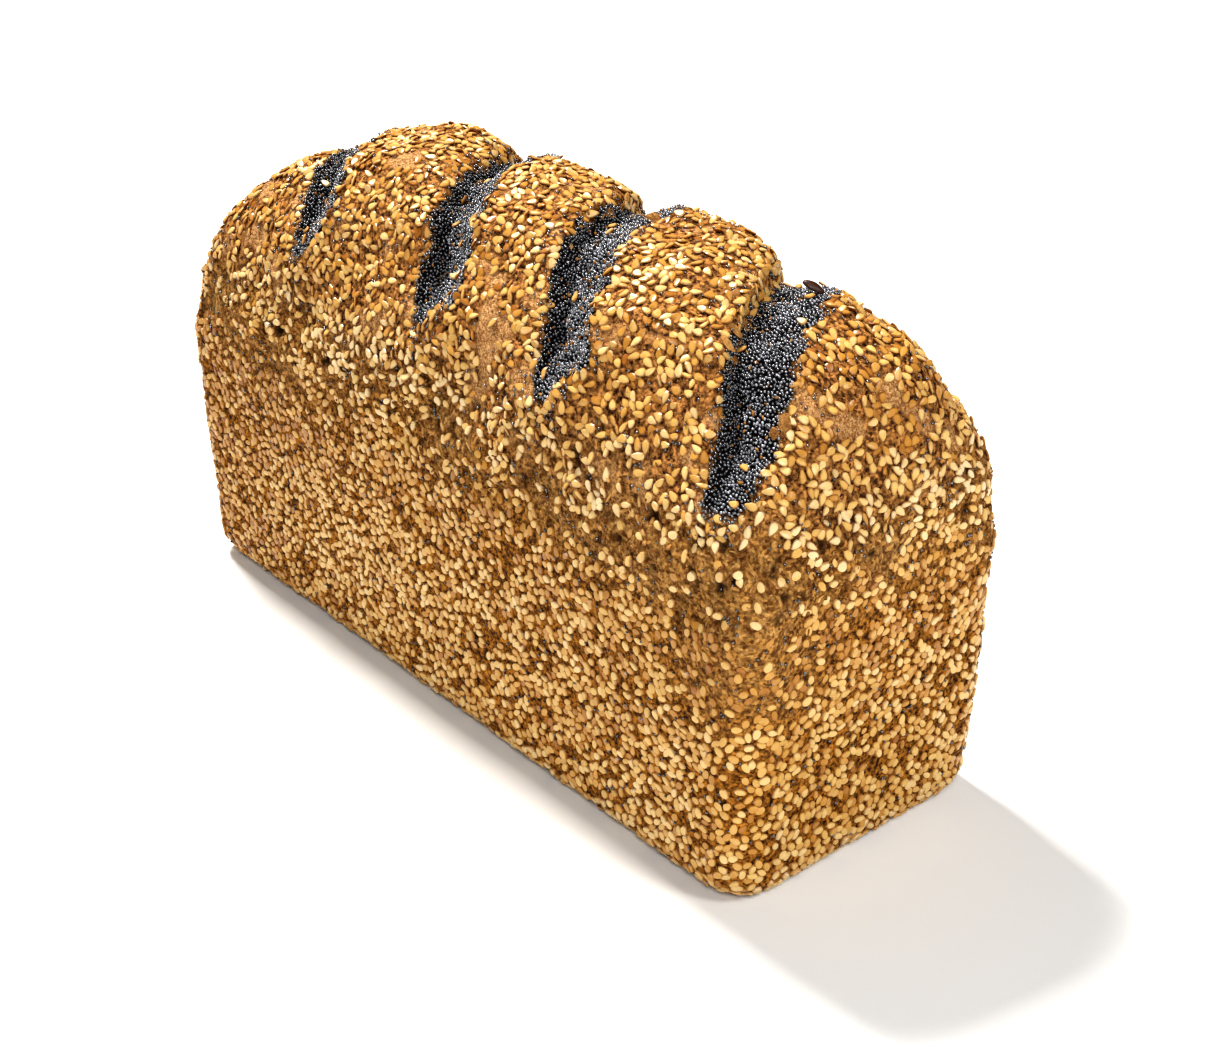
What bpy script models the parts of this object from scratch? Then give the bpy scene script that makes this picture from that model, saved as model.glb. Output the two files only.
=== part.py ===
# Rye tin loaf, one solid.
#
# The loaf is as long as its baking tin, with straight sides that open a little
# upwards, and a crown that rose well above the tin. Four slanting slashes cross
# the crown, and a coat of sesame seeds is baked onto the crust.
#
# Metres, +Z up. The length runs along X. The origin is under the middle of the
# loaf, on the plane of its flat base.

import math
import random

import bmesh
import bpy
import numpy as np
from mathutils import Matrix, Vector

# Driving sizes of the loaf

BASE_LENGTH = 0.231
BASE_WIDTH = 0.082
SHOULDER_HEIGHT = 0.0737
CROWN_RISE = 0.0632
TIN_FLARE = 0.026
CORNER_RADIUS = 0.0106
FOOT_RADIUS = 0.008

# The crown's two profiles: a high power squares the middle, a high root the rim

END_POWER = 3.07
END_ROOT = 2.68
SIDE_POWER = 2.76
SIDE_ROOT = 1.84

# Cells of the core mesh along its length, across it and up its sides. The sides
# of the box climb past the shoulder, up to where the crown is no longer steep.
# The fine mesh is thinned to so many triangles, which keeps them at the slashes.

CELLS_LONG = 220
CELLS_ACROSS = 60
CELLS_UP = 38
CORE_TRIANGLES = 4100
SMOOTH_PASSES = 3
BASE_FLATNESS = 0.0003
GRID_SLANT = 0.62
GRID_CLOSE_LONG = 0.8
GRID_CLOSE_ACROSS = 1.15
CAP_SHARE = 0.6
PROFILE_POINTS = 24
HALVINGS = 40
TOUCHING = 1e-6

# The four slashes: where the torn wall crosses the ridge, how far it slants and
# curves, how wide the slash opens, and how high above the base its two ends
# lie. The floor drops at the wall, within a share of the width, and climbs to
# the next lobe; the lobe before the wall rolls over towards it.

SLASH_RIDGE_X = (-0.0905, -0.0305, 0.0184, 0.072)
SLASH_SLANT = (0.60, 0.45, 0.20, 0.50)
SLASH_CURVE = (4.0, 3.0, 9.7, 5.0)
SLASH_WIDTH = (0.0155, 0.0170, 0.0180, 0.0178)
SLASH_END_HEIGHT = (0.106, 0.104, 0.102, 0.095)
SLASH_DEPTH = 0.0068
SLASH_FADE = 0.016
SLASH_END_SHARE = 0.35
WALL_SHARE = 0.11
FLOOR_CLIMB = 0.8
ROLL_DROP = 0.0030
ROLL_LENGTH = 0.008

# Unevenness of the crust: each wave has a height, a length and a turn, and each
# swell, where the crown rose fuller or less, has a place, a reach and a height

CROWN_WAVES = ((0.0006, 0.047, 0.5), (0.0005, 0.027, 1.9))
SIDE_WAVES = ((0.00025, 0.064, 0.9), (0.00020, 0.029, 2.2))
BED_CRAGS = ((0.0006, 0.0085, 1.1),)
WAVE_SWAY = 1.7
SWAY_RATE = 0.6
CROSS_SHARE = 0.7
CROSS_RATE = 0.8
RISE_RATE = 0.7
CROWN_SWELLS = (((0.104, 0.014, 0.121), 0.021, 0.0050),
                ((-0.086, 0.026, 0.127), 0.016, -0.0020))
RELIEF_BLEND = 0.010

# One sesame seed, and how the seeds lie

SEED_LENGTH = 0.0033
SEED_WIDTH = 0.0021
SEED_THICKNESS = 0.0014
SEED_TIP_TAPER = 0.45
SEED_FULLNESS = 1.15
SEED_SEGMENTS = 5
SEED_RINGS = 4
SEED_COUNT = 172
SEED_GAP = 0.0150
SEED_SINK = 0.0001
SEED_FLOOR_GAP = 0.009
SEED_WALL_GAP = 0.002
SEED_BED_GAP = 0.001
SEED_END_FADE = 0.15
LOWEST_SEED_NORMAL = -0.5
SEED_DRAWS = 40000
RANDOM_SEED = 7

# Crust finish

CRUST_COLOUR = (0.47, 0.27, 0.10, 1.0)
CRUST_ROUGHNESS = 0.72


def clear_scene():
    for item in list(bpy.data.objects):
        bpy.data.objects.remove(item, do_unlink=True)


def crust_material():
    material = bpy.data.materials.new("baked_crust")
    material.use_nodes = True
    shader = material.node_tree.nodes["Principled BSDF"]
    shader.inputs["Base Color"].default_value = CRUST_COLOUR
    shader.inputs["Roughness"].default_value = CRUST_ROUGHNESS
    shader.inputs["Metallic"].default_value = 0.0
    return material


def smooth_step(value):
    clipped = np.clip(value, 0.0, 1.0)
    return clipped * clipped * (3.0 - 2.0 * clipped)


def crown_height(share_x, share_y):
    """The crown's rise, 1 at the middle of the ridge and 0 at the tin's rim."""
    end_fall = (1.0 - np.abs(share_x) ** END_POWER).clip(0.0) ** (1.0 / END_ROOT)
    side_fall = (1.0 - np.abs(share_y) ** SIDE_POWER).clip(0.0) ** (1.0 / SIDE_ROOT)
    return end_fall * side_fall


def contour_scale(toward_x, toward_y, wanted):
    """How far out the crown has fallen to the wanted height, by halving the range."""
    near = np.zeros_like(toward_x)
    far = np.ones_like(toward_x)
    for _ in range(HALVINGS):
        middle = (near + far) / 2
        higher = crown_height(middle * toward_x, middle * toward_y) > wanted
        near = np.where(higher, middle, near)
        far = np.where(higher, far, middle)
    return (near + far) / 2


def side_profile(share):
    """Inset, height and crown share up the side, 0 at the base and 1 at the cap's edge."""
    turn = np.linspace(0.0, math.pi / 2, PROFILE_POINTS)
    climb = np.linspace(0.0, CAP_SHARE, PROFILE_POINTS)
    drift = (1.0 - climb ** SIDE_ROOT) ** (1.0 / SIDE_POWER) - 1.0
    foot = FOOT_RADIUS * (1.0 - np.sin(turn))
    inset = np.concatenate((foot, -drift * BASE_WIDTH / 2))
    height = np.concatenate((FOOT_RADIUS * (1.0 - np.cos(turn)), SHOULDER_HEIGHT + CROWN_RISE * climb))
    steps = np.hypot(np.diff(inset), np.diff(height))
    travelled = np.concatenate(([0.0], np.cumsum(steps)))
    at = share * travelled[-1]
    foot_inset = np.interp(at, travelled, np.concatenate((foot, np.zeros_like(climb))))
    crown_share = np.interp(at, travelled, np.concatenate((np.zeros_like(turn), climb)))
    return foot_inset, np.interp(at, travelled, height), crown_share


def close_up(share, turn):
    """Draw the grid lines closer towards both edges, where the crown is steep."""
    return np.sin(share * turn) / math.sin(turn)


def round_corners(x, y, half_x, half_y):
    """Bend a rectangle's corner squares into quarter discs."""
    over_x = np.abs(x) - (half_x - CORNER_RADIUS)
    over_y = np.abs(y) - (half_y - CORNER_RADIUS)
    inside = (over_x > 0.0) & (over_y > 0.0)
    radius = np.maximum(over_x, over_y)
    share = np.minimum(over_x, over_y) / np.maximum(radius, TOUCHING)
    turn = share * math.pi / 4
    along = radius * np.cos(turn)
    side = radius * np.sin(turn)
    new_x = np.where(over_x >= over_y, along, side) + half_x - CORNER_RADIUS
    new_y = np.where(over_x >= over_y, side, along) + half_y - CORNER_RADIUS
    return (np.where(inside, np.sign(x) * new_x, x),
            np.where(inside, np.sign(y) * new_y, y))


def loaf_form(box):
    """Move points of a box that runs from -1 to 1 onto the loaf, before its relief."""
    across_x = close_up(box[:, 0], GRID_CLOSE_LONG)
    across_y = close_up(box[:, 1], GRID_CLOSE_ACROSS)
    across_x = across_x - GRID_SLANT * across_y * (1.0 - across_x ** 4) * BASE_WIDTH / BASE_LENGTH
    foot_inset, height, crown_share = side_profile((box[:, 2] + 1.0) / 2.0)
    ring = np.maximum(np.maximum(np.abs(across_x), np.abs(across_y)), TOUCHING)
    scale = contour_scale(across_x / ring, across_y / ring, crown_share)
    share_x = across_x * scale
    share_y = across_y * scale
    flare = TIN_FLARE * np.minimum(height, SHOULDER_HEIGHT) - foot_inset
    half_x = BASE_LENGTH / 2 + flare
    half_y = BASE_WIDTH / 2 + flare
    on_cap = (box[:, 2] > 1.0 - TOUCHING) & (ring < 1.0 - TOUCHING)
    cap_height = SHOULDER_HEIGHT + CROWN_RISE * crown_height(share_x, share_y)
    x, y = round_corners(share_x * half_x, share_y * half_y, half_x, half_y)
    return np.stack((x, y, np.where(on_cap, cap_height, height)), axis=1)


def slash_frame(place, index):
    """Distance past a slash's torn wall, its open width there, and how open it is."""
    toward = -place[:, 1]
    slant = SLASH_SLANT[index] + SLASH_CURVE[index] * np.abs(toward)
    past_wall = place[:, 0] - SLASH_RIDGE_X[index] - slant * toward
    fade = smooth_step((place[:, 2] - SLASH_END_HEIGHT[index]) / SLASH_FADE)
    width = SLASH_WIDTH[index] * (SLASH_END_SHARE + (1.0 - SLASH_END_SHARE) * fade)
    return past_wall, width, fade


def slash_relief(place):
    """Depth of the four slashes, where each lobe rolls over before its torn wall."""
    relief = np.zeros(len(place))
    for index in range(len(SLASH_RIDGE_X)):
        past_wall, width, fade = slash_frame(place, index)
        share = np.clip(past_wall / width, 0.0, 1.0)
        climb = (1.0 - share) ** FLOOR_CLIMB
        drop = smooth_step(share / WALL_SHARE) * climb
        roll = np.exp(np.minimum(past_wall, 0.0) / ROLL_LENGTH) * climb
        relief -= fade * (ROLL_DROP * roll + SLASH_DEPTH * drop)
    return relief


def in_slash(place):
    """Whether a place lies on the floor of one of the slashes."""
    found = np.zeros(len(place), dtype=bool)
    for index in range(len(SLASH_RIDGE_X)):
        past_wall, width, fade = slash_frame(place, index)
        across = (past_wall > -SEED_WALL_GAP) & (past_wall < width + SEED_BED_GAP)
        found |= across & (fade > SEED_END_FADE)
    return found


def bed_share(place):
    """How far a place lies inside a slash, 1 in the middle and 0 at its edges."""
    inside = np.zeros(len(place))
    for index in range(len(SLASH_RIDGE_X)):
        past_wall, width, fade = slash_frame(place, index)
        share = np.clip(past_wall / width, 0.0, 1.0)
        inside += fade * 4.0 * share * (1.0 - share)
    return inside


def swells(place):
    """The few broad places where the crown stands fuller or falls short."""
    rise = np.zeros(len(place))
    for middle, reach, height in CROWN_SWELLS:
        away = np.linalg.norm(place - np.array(middle), axis=1)
        rise += height * np.exp(-(away / reach) ** 2)
    return rise


def waves(place, table):
    """A slow, irregular swell made of crossed waves."""
    swell = np.zeros(len(place))
    for height, length, turn in table:
        rate = math.tau / length
        first = place[:, 0] * math.cos(turn) + place[:, 1] * math.sin(turn)
        second = place[:, 1] * math.cos(turn) - place[:, 0] * math.sin(turn)
        rising = place[:, 2] + turn * length
        swell += height * np.sin(rate * first + WAVE_SWAY * np.sin(rate * SWAY_RATE * rising))
        swell += CROSS_SHARE * height * np.sin(rate * (CROSS_RATE * second + RISE_RATE * rising))
    return swell


def loaf_relief(place):
    """How far the crust stands out of or into the plain loaf form."""
    crown_share = smooth_step((place[:, 2] - SHOULDER_HEIGHT) / RELIEF_BLEND)
    lift_share = smooth_step(place[:, 2] / (2.0 * FOOT_RADIUS))
    crags = waves(place, BED_CRAGS)
    relief = crown_share * (slash_relief(place) + waves(place, CROWN_WAVES) + swells(place))
    relief += crown_share * bed_share(place) * crags
    relief += (1.0 - crown_share) * lift_share * waves(place, SIDE_WAVES)
    return relief


def cut_edges(mesh, direction, cells):
    """Divide all the edges that run along one axis of the box."""
    picked = []
    for edge in mesh.edges:
        run = edge.verts[1].co - edge.verts[0].co
        if abs(run[direction]) > 0.5 * run.length:
            picked.append(edge)
    bmesh.ops.subdivide_edges(mesh, edges=picked, cuts=cells - 1, use_grid_fill=True)


def build_core():
    """The loaf without its seeds: a box divided into cells and shaped in two passes."""
    mesh = bmesh.new()
    bmesh.ops.create_cube(mesh, size=2.0)
    cut_edges(mesh, 0, CELLS_LONG)
    cut_edges(mesh, 1, CELLS_ACROSS)
    cut_edges(mesh, 2, CELLS_UP)
    base_faces = [face for face in mesh.faces if face.calc_center_median().z < -0.999]
    bmesh.ops.dissolve_faces(mesh, faces=base_faces, use_verts=False)
    inner = [vert for vert in mesh.verts if not vert.link_faces]
    bmesh.ops.delete(mesh, geom=inner, context="VERTS")

    box = np.array([vert.co for vert in mesh.verts])
    formed = loaf_form(box)
    for vert, place in zip(mesh.verts, formed):
        vert.co = place
    mesh.normal_update()

    relief = loaf_relief(formed)
    for vert, amount in zip(mesh.verts, relief):
        if vert.co.z > TOUCHING:
            vert.co += vert.normal * float(amount)
    crown_verts = [vert for vert in mesh.verts if vert.co.z > SHOULDER_HEIGHT]
    for _ in range(SMOOTH_PASSES):
        bmesh.ops.smooth_vert(mesh, verts=crown_verts, factor=0.5,
                              use_axis_x=True, use_axis_y=True, use_axis_z=True)
    bmesh.ops.triangulate(mesh, faces=mesh.faces[:])
    bmesh.ops.recalc_face_normals(mesh, faces=mesh.faces[:])

    data = bpy.data.meshes.new("loaf")
    mesh.to_mesh(data)
    mesh.free()
    core = bpy.data.objects.new("loaf", data)
    bpy.context.scene.collection.objects.link(core)
    thin_out(core)
    return core


def apply_modifiers(item):
    bpy.context.view_layer.update()
    evaluated = item.evaluated_get(bpy.context.evaluated_depsgraph_get())
    result = bpy.data.meshes.new_from_object(evaluated)
    item.modifiers.clear()
    item.data = result


def thin_out(core):
    """Fewer triangles where the crust is plain, with the base kept on its plane."""
    thinning = core.modifiers.new("thin_out", "DECIMATE")
    thinning.ratio = CORE_TRIANGLES / len(core.data.polygons)
    apply_modifiers(core)
    for vert in core.data.vertices:
        if vert.co.z < BASE_FLATNESS:
            vert.co.z = 0.0


def seed_places(core):
    """Even, seeded picks on the crust, each a point, a normal and a turn."""
    draw = random.Random(RANDOM_SEED)
    source = bmesh.new()
    source.from_mesh(core.data)
    source.faces.ensure_lookup_table()
    faces = [face for face in source.faces if face.normal.z > LOWEST_SEED_NORMAL]
    totals = np.cumsum([face.calc_area() for face in faces])
    places = []
    points = np.empty((0, 3))
    for _ in range(SEED_DRAWS):
        if len(places) == SEED_COUNT:
            break
        face = faces[int(np.searchsorted(totals, draw.random() * totals[-1]))]
        first, second = sorted((draw.random(), draw.random()))
        corners = [vert.co for vert in face.verts]
        point = corners[0] * first + corners[1] * (second - first) + corners[2] * (1.0 - second)
        low = point.z < SEED_FLOOR_GAP
        in_bed = in_slash(np.array([point]))[0]
        if low or in_bed:
            continue
        if len(points) and np.min(np.linalg.norm(points - np.array(point), axis=1)) < SEED_GAP:
            continue
        points = np.vstack((points, np.array(point)))
        places.append((point, face.normal.copy(), draw.uniform(0.0, math.tau)))
    source.free()
    return places


def seed_mesh():
    """A flat teardrop: round at one end, drawn to a tip at the other."""
    mesh = bmesh.new()
    bmesh.ops.create_uvsphere(mesh, u_segments=SEED_SEGMENTS, v_segments=SEED_RINGS, radius=0.5)
    bmesh.ops.rotate(mesh, verts=mesh.verts, cent=(0, 0, 0), matrix=Matrix.Rotation(math.pi / 2, 3, "Y"))
    for vert in mesh.verts:
        pinch = 1.0 - SEED_TIP_TAPER * (vert.co.x + 0.5)
        vert.co.x *= SEED_LENGTH
        vert.co.y *= SEED_WIDTH * pinch * SEED_FULLNESS
        vert.co.z *= SEED_THICKNESS * pinch * SEED_FULLNESS
    bmesh.ops.triangulate(mesh, faces=mesh.faces[:])
    bmesh.ops.recalc_face_normals(mesh, faces=mesh.faces[:])
    data = bpy.data.meshes.new("sesame_seed")
    mesh.to_mesh(data)
    mesh.free()
    return data


def lay_seeds(core):
    """One seed object at each place, half sunk in the crust, in a collection."""
    coat = bpy.data.collections.new("sesame_coat")
    bpy.context.scene.collection.children.link(coat)
    shape = seed_mesh()
    for number, (point, normal, turn) in enumerate(seed_places(core)):
        seed = bpy.data.objects.new("seed_%03d" % number, shape)
        upright = normal.to_track_quat("Z", "Y").to_matrix().to_4x4()
        place = Matrix.Translation(point - normal * SEED_SINK)
        seed.matrix_world = place @ upright @ Matrix.Rotation(turn, 4, "Z")
        coat.objects.link(seed)
    return coat


def fuse(core, coat):
    """One union of the crust with the whole coat, then the loose seeds are removed."""
    union = core.modifiers.new("fuse_seeds", "BOOLEAN")
    union.operation = "UNION"
    union.operand_type = "COLLECTION"
    union.collection = coat
    union.solver = "EXACT"
    apply_modifiers(core)
    for seed in list(coat.objects):
        bpy.data.objects.remove(seed, do_unlink=True)
    bpy.data.collections.remove(coat)


def centre_on_origin(core):
    """Put the middle of the loaf over the origin and its base on the ground plane."""
    places = np.array([vert.co for vert in core.data.vertices])
    low = places.min(axis=0)
    high = places.max(axis=0)
    shift = Vector((-(low[0] + high[0]) / 2, -(low[1] + high[1]) / 2, -low[2]))
    core.data.transform(Matrix.Translation(shift))


def finish_mesh(core):
    """Triangles only, with points that coincide joined."""
    mesh = bmesh.new()
    mesh.from_mesh(core.data)
    bmesh.ops.remove_doubles(mesh, verts=mesh.verts, dist=TOUCHING)
    bmesh.ops.triangulate(mesh, faces=mesh.faces[:])
    mesh.to_mesh(core.data)
    mesh.free()


def build_loaf():
    clear_scene()
    core = build_core()
    fuse(core, lay_seeds(core))
    finish_mesh(core)
    centre_on_origin(core)
    core.data.materials.clear()
    core.data.materials.append(crust_material())
    print("loaf triangles:", len(core.data.polygons))
    print("loaf size:", [round(size, 4) for size in core.dimensions])


build_loaf()
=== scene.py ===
# %% [markdown]
# # A rye tin loaf under a coat of seeds
#
# This lesson dresses the plain model of a loaf that was baked in a long tin.
# The real loaf has straight sides that were pressed against the tin, a crown
# that rose above it, four slanting slashes filled with poppy seeds, and sesame
# seeds baked onto every other part of the crust.

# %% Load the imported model
import math

import bmesh
import bpy
import numpy as np
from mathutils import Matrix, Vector
from mathutils.bvhtree import BVHTree
from mathutils.kdtree import KDTree


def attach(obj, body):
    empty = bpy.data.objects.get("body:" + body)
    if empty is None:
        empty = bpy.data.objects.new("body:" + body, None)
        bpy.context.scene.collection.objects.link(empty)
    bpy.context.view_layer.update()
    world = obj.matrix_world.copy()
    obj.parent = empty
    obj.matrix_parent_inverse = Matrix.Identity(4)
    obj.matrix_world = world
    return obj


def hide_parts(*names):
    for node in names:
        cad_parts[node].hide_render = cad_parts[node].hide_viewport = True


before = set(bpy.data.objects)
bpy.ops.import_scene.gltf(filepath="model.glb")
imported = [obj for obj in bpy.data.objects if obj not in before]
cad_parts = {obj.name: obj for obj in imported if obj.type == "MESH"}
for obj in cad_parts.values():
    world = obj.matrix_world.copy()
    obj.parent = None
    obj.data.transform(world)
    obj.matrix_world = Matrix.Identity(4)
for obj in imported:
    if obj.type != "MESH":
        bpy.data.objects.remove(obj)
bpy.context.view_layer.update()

MM = 0.001

# %% [markdown]
# ## The camera
#
# The loaf is seen from a little above one of its front corners. The camera is
# set by the angle round the loaf, the angle above the table and the distance,
# which keeps the perspective of the picture: the near end is clearly larger
# than the far one. It is made first, because a few details, such as the burnt
# flake, are put where the picture shows them, by a ray from the camera.

# %% Set up the camera
FRAME_WIDTH = 1207
FRAME_HEIGHT = 1057
VIEW_TURN = math.radians(49.91)
VIEW_RISE = math.radians(28.64)
VIEW_DISTANCE = 0.5551
VIEW_ASIDE = 0.0124
VIEW_ABOVE = 0.0345
LENS_PIXELS = 2000.0
SENSOR_WIDTH = 36.0
CLIP_START = 0.01


def add_object(operator, name, **settings):
    """Add an object while nothing else is selected, and name it."""
    bpy.ops.object.select_all(action="DESELECT")
    operator(**settings)
    added = bpy.context.object
    added.name = name
    return added


view_back = Vector((math.sin(VIEW_TURN) * math.cos(VIEW_RISE),
                    -math.cos(VIEW_TURN) * math.cos(VIEW_RISE),
                    math.sin(VIEW_RISE)))
view_right = (-view_back).cross(Vector((0.0, 0.0, 1.0))).normalized()
view_up = view_right.cross(-view_back)
view_place = view_back * VIEW_DISTANCE + view_right * VIEW_ASIDE + view_up * VIEW_ABOVE

camera = add_object(bpy.ops.object.camera_add, "photo_camera", location=view_place)
camera.rotation_euler = (-view_back).to_track_quat("-Z", "Y").to_euler()
camera.data.sensor_width = SENSOR_WIDTH
camera.data.lens = LENS_PIXELS / FRAME_WIDTH * SENSOR_WIDTH
camera.data.clip_start = CLIP_START
bpy.context.scene.camera = camera
print("Camera at", [round(value, 3) for value in view_place], "lens", round(camera.data.lens, 1))

# %% [markdown]
# ## The form of the loaf
#
# The crust could be a copy of the model's mesh, but its triangles are too
# coarse for crags and wrinkles. It is made anew instead, from the same sizes
# and the same rules as the model, on a much finer grid: a box is divided into
# cells, and a function sends each point of the box to its place on the loaf.

# %% Sizes of the loaf, as in the model
BASE_LENGTH = 0.231
BASE_WIDTH = 0.082
SHOULDER_HEIGHT = 0.0737
CROWN_RISE = 0.0632
TIN_FLARE = 0.026
CORNER_RADIUS = 0.0106
FOOT_RADIUS = 0.008
END_POWER = 3.07
END_ROOT = 2.68
SIDE_POWER = 2.76
SIDE_ROOT = 1.84
GRID_SLANT = 0.62
GRID_CLOSE_LONG = 0.8
GRID_CLOSE_ACROSS = 1.15
CAP_SHARE = 0.6
PROFILE_POINTS = 24
HALVINGS = 40
TOUCHING = 1e-6
BASE_LIFT = 0.0004


def smooth_step(value):
    clipped = np.clip(value, 0.0, 1.0)
    return clipped * clipped * (3.0 - 2.0 * clipped)


def crown_height(share_x, share_y):
    """The crown's rise, 1 at the middle of the ridge and 0 at the tin's rim."""
    end_fall = (1.0 - np.abs(share_x) ** END_POWER).clip(0.0) ** (1.0 / END_ROOT)
    side_fall = (1.0 - np.abs(share_y) ** SIDE_POWER).clip(0.0) ** (1.0 / SIDE_ROOT)
    return end_fall * side_fall


def contour_scale(toward_x, toward_y, wanted):
    """How far out the crown has fallen to the wanted height, by halving the range."""
    near = np.zeros_like(toward_x)
    far = np.ones_like(toward_x)
    for _ in range(HALVINGS):
        middle = (near + far) / 2
        higher = crown_height(middle * toward_x, middle * toward_y) > wanted
        near = np.where(higher, middle, near)
        far = np.where(higher, far, middle)
    return (near + far) / 2


def side_profile(share):
    """Inset, height and crown share up the side, 0 at the base and 1 at the cap's edge."""
    turn = np.linspace(0.0, math.pi / 2, PROFILE_POINTS)
    climb = np.linspace(0.0, CAP_SHARE, PROFILE_POINTS)
    drift = (1.0 - climb ** SIDE_ROOT) ** (1.0 / SIDE_POWER) - 1.0
    foot = FOOT_RADIUS * (1.0 - np.sin(turn))
    inset = np.concatenate((foot, -drift * BASE_WIDTH / 2))
    height = np.concatenate((FOOT_RADIUS * (1.0 - np.cos(turn)), SHOULDER_HEIGHT + CROWN_RISE * climb))
    steps = np.hypot(np.diff(inset), np.diff(height))
    travelled = np.concatenate(([0.0], np.cumsum(steps)))
    at = share * travelled[-1]
    foot_inset = np.interp(at, travelled, np.concatenate((foot, np.zeros_like(climb))))
    crown_share = np.interp(at, travelled, np.concatenate((np.zeros_like(turn), climb)))
    return foot_inset, np.interp(at, travelled, height), crown_share


def round_corners(x, y, half_x, half_y):
    """Bend a rectangle's corner squares into quarter discs."""
    over_x = np.abs(x) - (half_x - CORNER_RADIUS)
    over_y = np.abs(y) - (half_y - CORNER_RADIUS)
    inside = (over_x > 0.0) & (over_y > 0.0)
    radius = np.maximum(over_x, over_y)
    turn = np.minimum(over_x, over_y) / np.maximum(radius, TOUCHING) * math.pi / 4
    along = radius * np.cos(turn)
    side = radius * np.sin(turn)
    new_x = np.where(over_x >= over_y, along, side) + half_x - CORNER_RADIUS
    new_y = np.where(over_x >= over_y, side, along) + half_y - CORNER_RADIUS
    return (np.where(inside, np.sign(x) * new_x, x),
            np.where(inside, np.sign(y) * new_y, y))


def loaf_form(box):
    """Move points of a box that runs from -1 to 1 onto the loaf, before its relief."""
    across_x = np.sin(box[:, 0] * GRID_CLOSE_LONG) / math.sin(GRID_CLOSE_LONG)
    across_y = np.sin(box[:, 1] * GRID_CLOSE_ACROSS) / math.sin(GRID_CLOSE_ACROSS)
    across_x = across_x - GRID_SLANT * across_y * (1.0 - across_x ** 4) * BASE_WIDTH / BASE_LENGTH
    foot_inset, height, crown_share = side_profile((box[:, 2] + 1.0) / 2.0)
    ring = np.maximum(np.maximum(np.abs(across_x), np.abs(across_y)), TOUCHING)
    scale = contour_scale(across_x / ring, across_y / ring, crown_share)
    share_x = across_x * scale
    share_y = across_y * scale
    flare = TIN_FLARE * np.minimum(height, SHOULDER_HEIGHT) - foot_inset
    half_x = BASE_LENGTH / 2 + flare
    half_y = BASE_WIDTH / 2 + flare
    on_cap = (box[:, 2] > 1.0 - TOUCHING) & (ring < 1.0 - TOUCHING)
    cap_height = SHOULDER_HEIGHT + CROWN_RISE * crown_height(share_x, share_y)
    x, y = round_corners(share_x * half_x, share_y * half_y, half_x, half_y)
    return np.stack((x, y, np.maximum(np.where(on_cap, cap_height, height), BASE_LIFT)), axis=1)


print("Ridge at", round((SHOULDER_HEIGHT + CROWN_RISE) / MM, 1), "mm")

# %% [markdown]
# The slashes were cut across the risen dough with a slant. In the oven each cut
# opened: the lobe on one side rolled over and hangs as a lip above the cut's
# floor, and the floor climbs gently to the next lobe. So a slash is described
# by where its torn wall runs, and every point of the crust gets its distance
# past that wall.

# %% Slashes and unevenness, as in the model
SLASH_RIDGE_X = (-0.0905, -0.0305, 0.0184, 0.072)
SLASH_SLANT = (0.60, 0.45, 0.20, 0.50)
SLASH_CURVE = (4.0, 3.0, 9.7, 5.0)
SLASH_WIDTH = (0.0155, 0.0170, 0.0180, 0.0178)
SLASH_END_HEIGHT = (0.106, 0.104, 0.102, 0.095)
SLASH_DEPTH = 0.0068
SLASH_FADE = 0.016
SLASH_END_SHARE = 0.35
WALL_SHARE = 0.11
FLOOR_CLIMB = 0.8
ROLL_DROP = 0.0030
ROLL_LENGTH = 0.008
CROWN_WAVES = ((0.0006, 0.047, 0.5), (0.0005, 0.027, 1.9))
SIDE_WAVES = ((0.00025, 0.064, 0.9), (0.00020, 0.029, 2.2))
BED_CRAGS = ((0.0006, 0.0085, 1.1),)
WAVE_SWAY = 1.7
SWAY_RATE = 0.6
CROSS_SHARE = 0.7
CROSS_RATE = 0.8
RISE_RATE = 0.7
CROWN_SWELLS = (((0.104, 0.014, 0.121), 0.021, 0.0050),
                ((-0.086, 0.026, 0.127), 0.016, -0.0020))
RELIEF_BLEND = 0.010


def slash_frame(place, index):
    """Distance past a slash's torn wall, its open width there, and how open it is."""
    toward = -place[:, 1]
    slant = SLASH_SLANT[index] + SLASH_CURVE[index] * np.abs(toward)
    past_wall = place[:, 0] - SLASH_RIDGE_X[index] - slant * toward
    fade = smooth_step((place[:, 2] - SLASH_END_HEIGHT[index]) / SLASH_FADE)
    width = SLASH_WIDTH[index] * (SLASH_END_SHARE + (1.0 - SLASH_END_SHARE) * fade)
    return past_wall, width, fade


def slash_relief(place):
    """Depth of the four slashes, where each lobe rolls over before its torn wall."""
    relief = np.zeros(len(place))
    for index in range(len(SLASH_RIDGE_X)):
        past_wall, width, fade = slash_frame(place, index)
        share = np.clip(past_wall / width, 0.0, 1.0)
        climb = (1.0 - share) ** FLOOR_CLIMB
        drop = smooth_step(share / WALL_SHARE) * climb
        roll = np.exp(np.minimum(past_wall, 0.0) / ROLL_LENGTH) * climb
        relief -= fade * (ROLL_DROP * roll + SLASH_DEPTH * drop)
    return relief


def bed_share(place):
    """How far a place lies inside a slash, 1 in the middle and 0 at its edges."""
    inside = np.zeros(len(place))
    for index in range(len(SLASH_RIDGE_X)):
        past_wall, width, fade = slash_frame(place, index)
        share = np.clip(past_wall / width, 0.0, 1.0)
        inside += fade * 4.0 * share * (1.0 - share)
    return inside


def swells(place):
    """The few broad places where the crown stands fuller or falls short."""
    rise = np.zeros(len(place))
    for middle, reach, height in CROWN_SWELLS:
        away = np.linalg.norm(place - np.array(middle), axis=1)
        rise += height * np.exp(-(away / reach) ** 2)
    return rise


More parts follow.
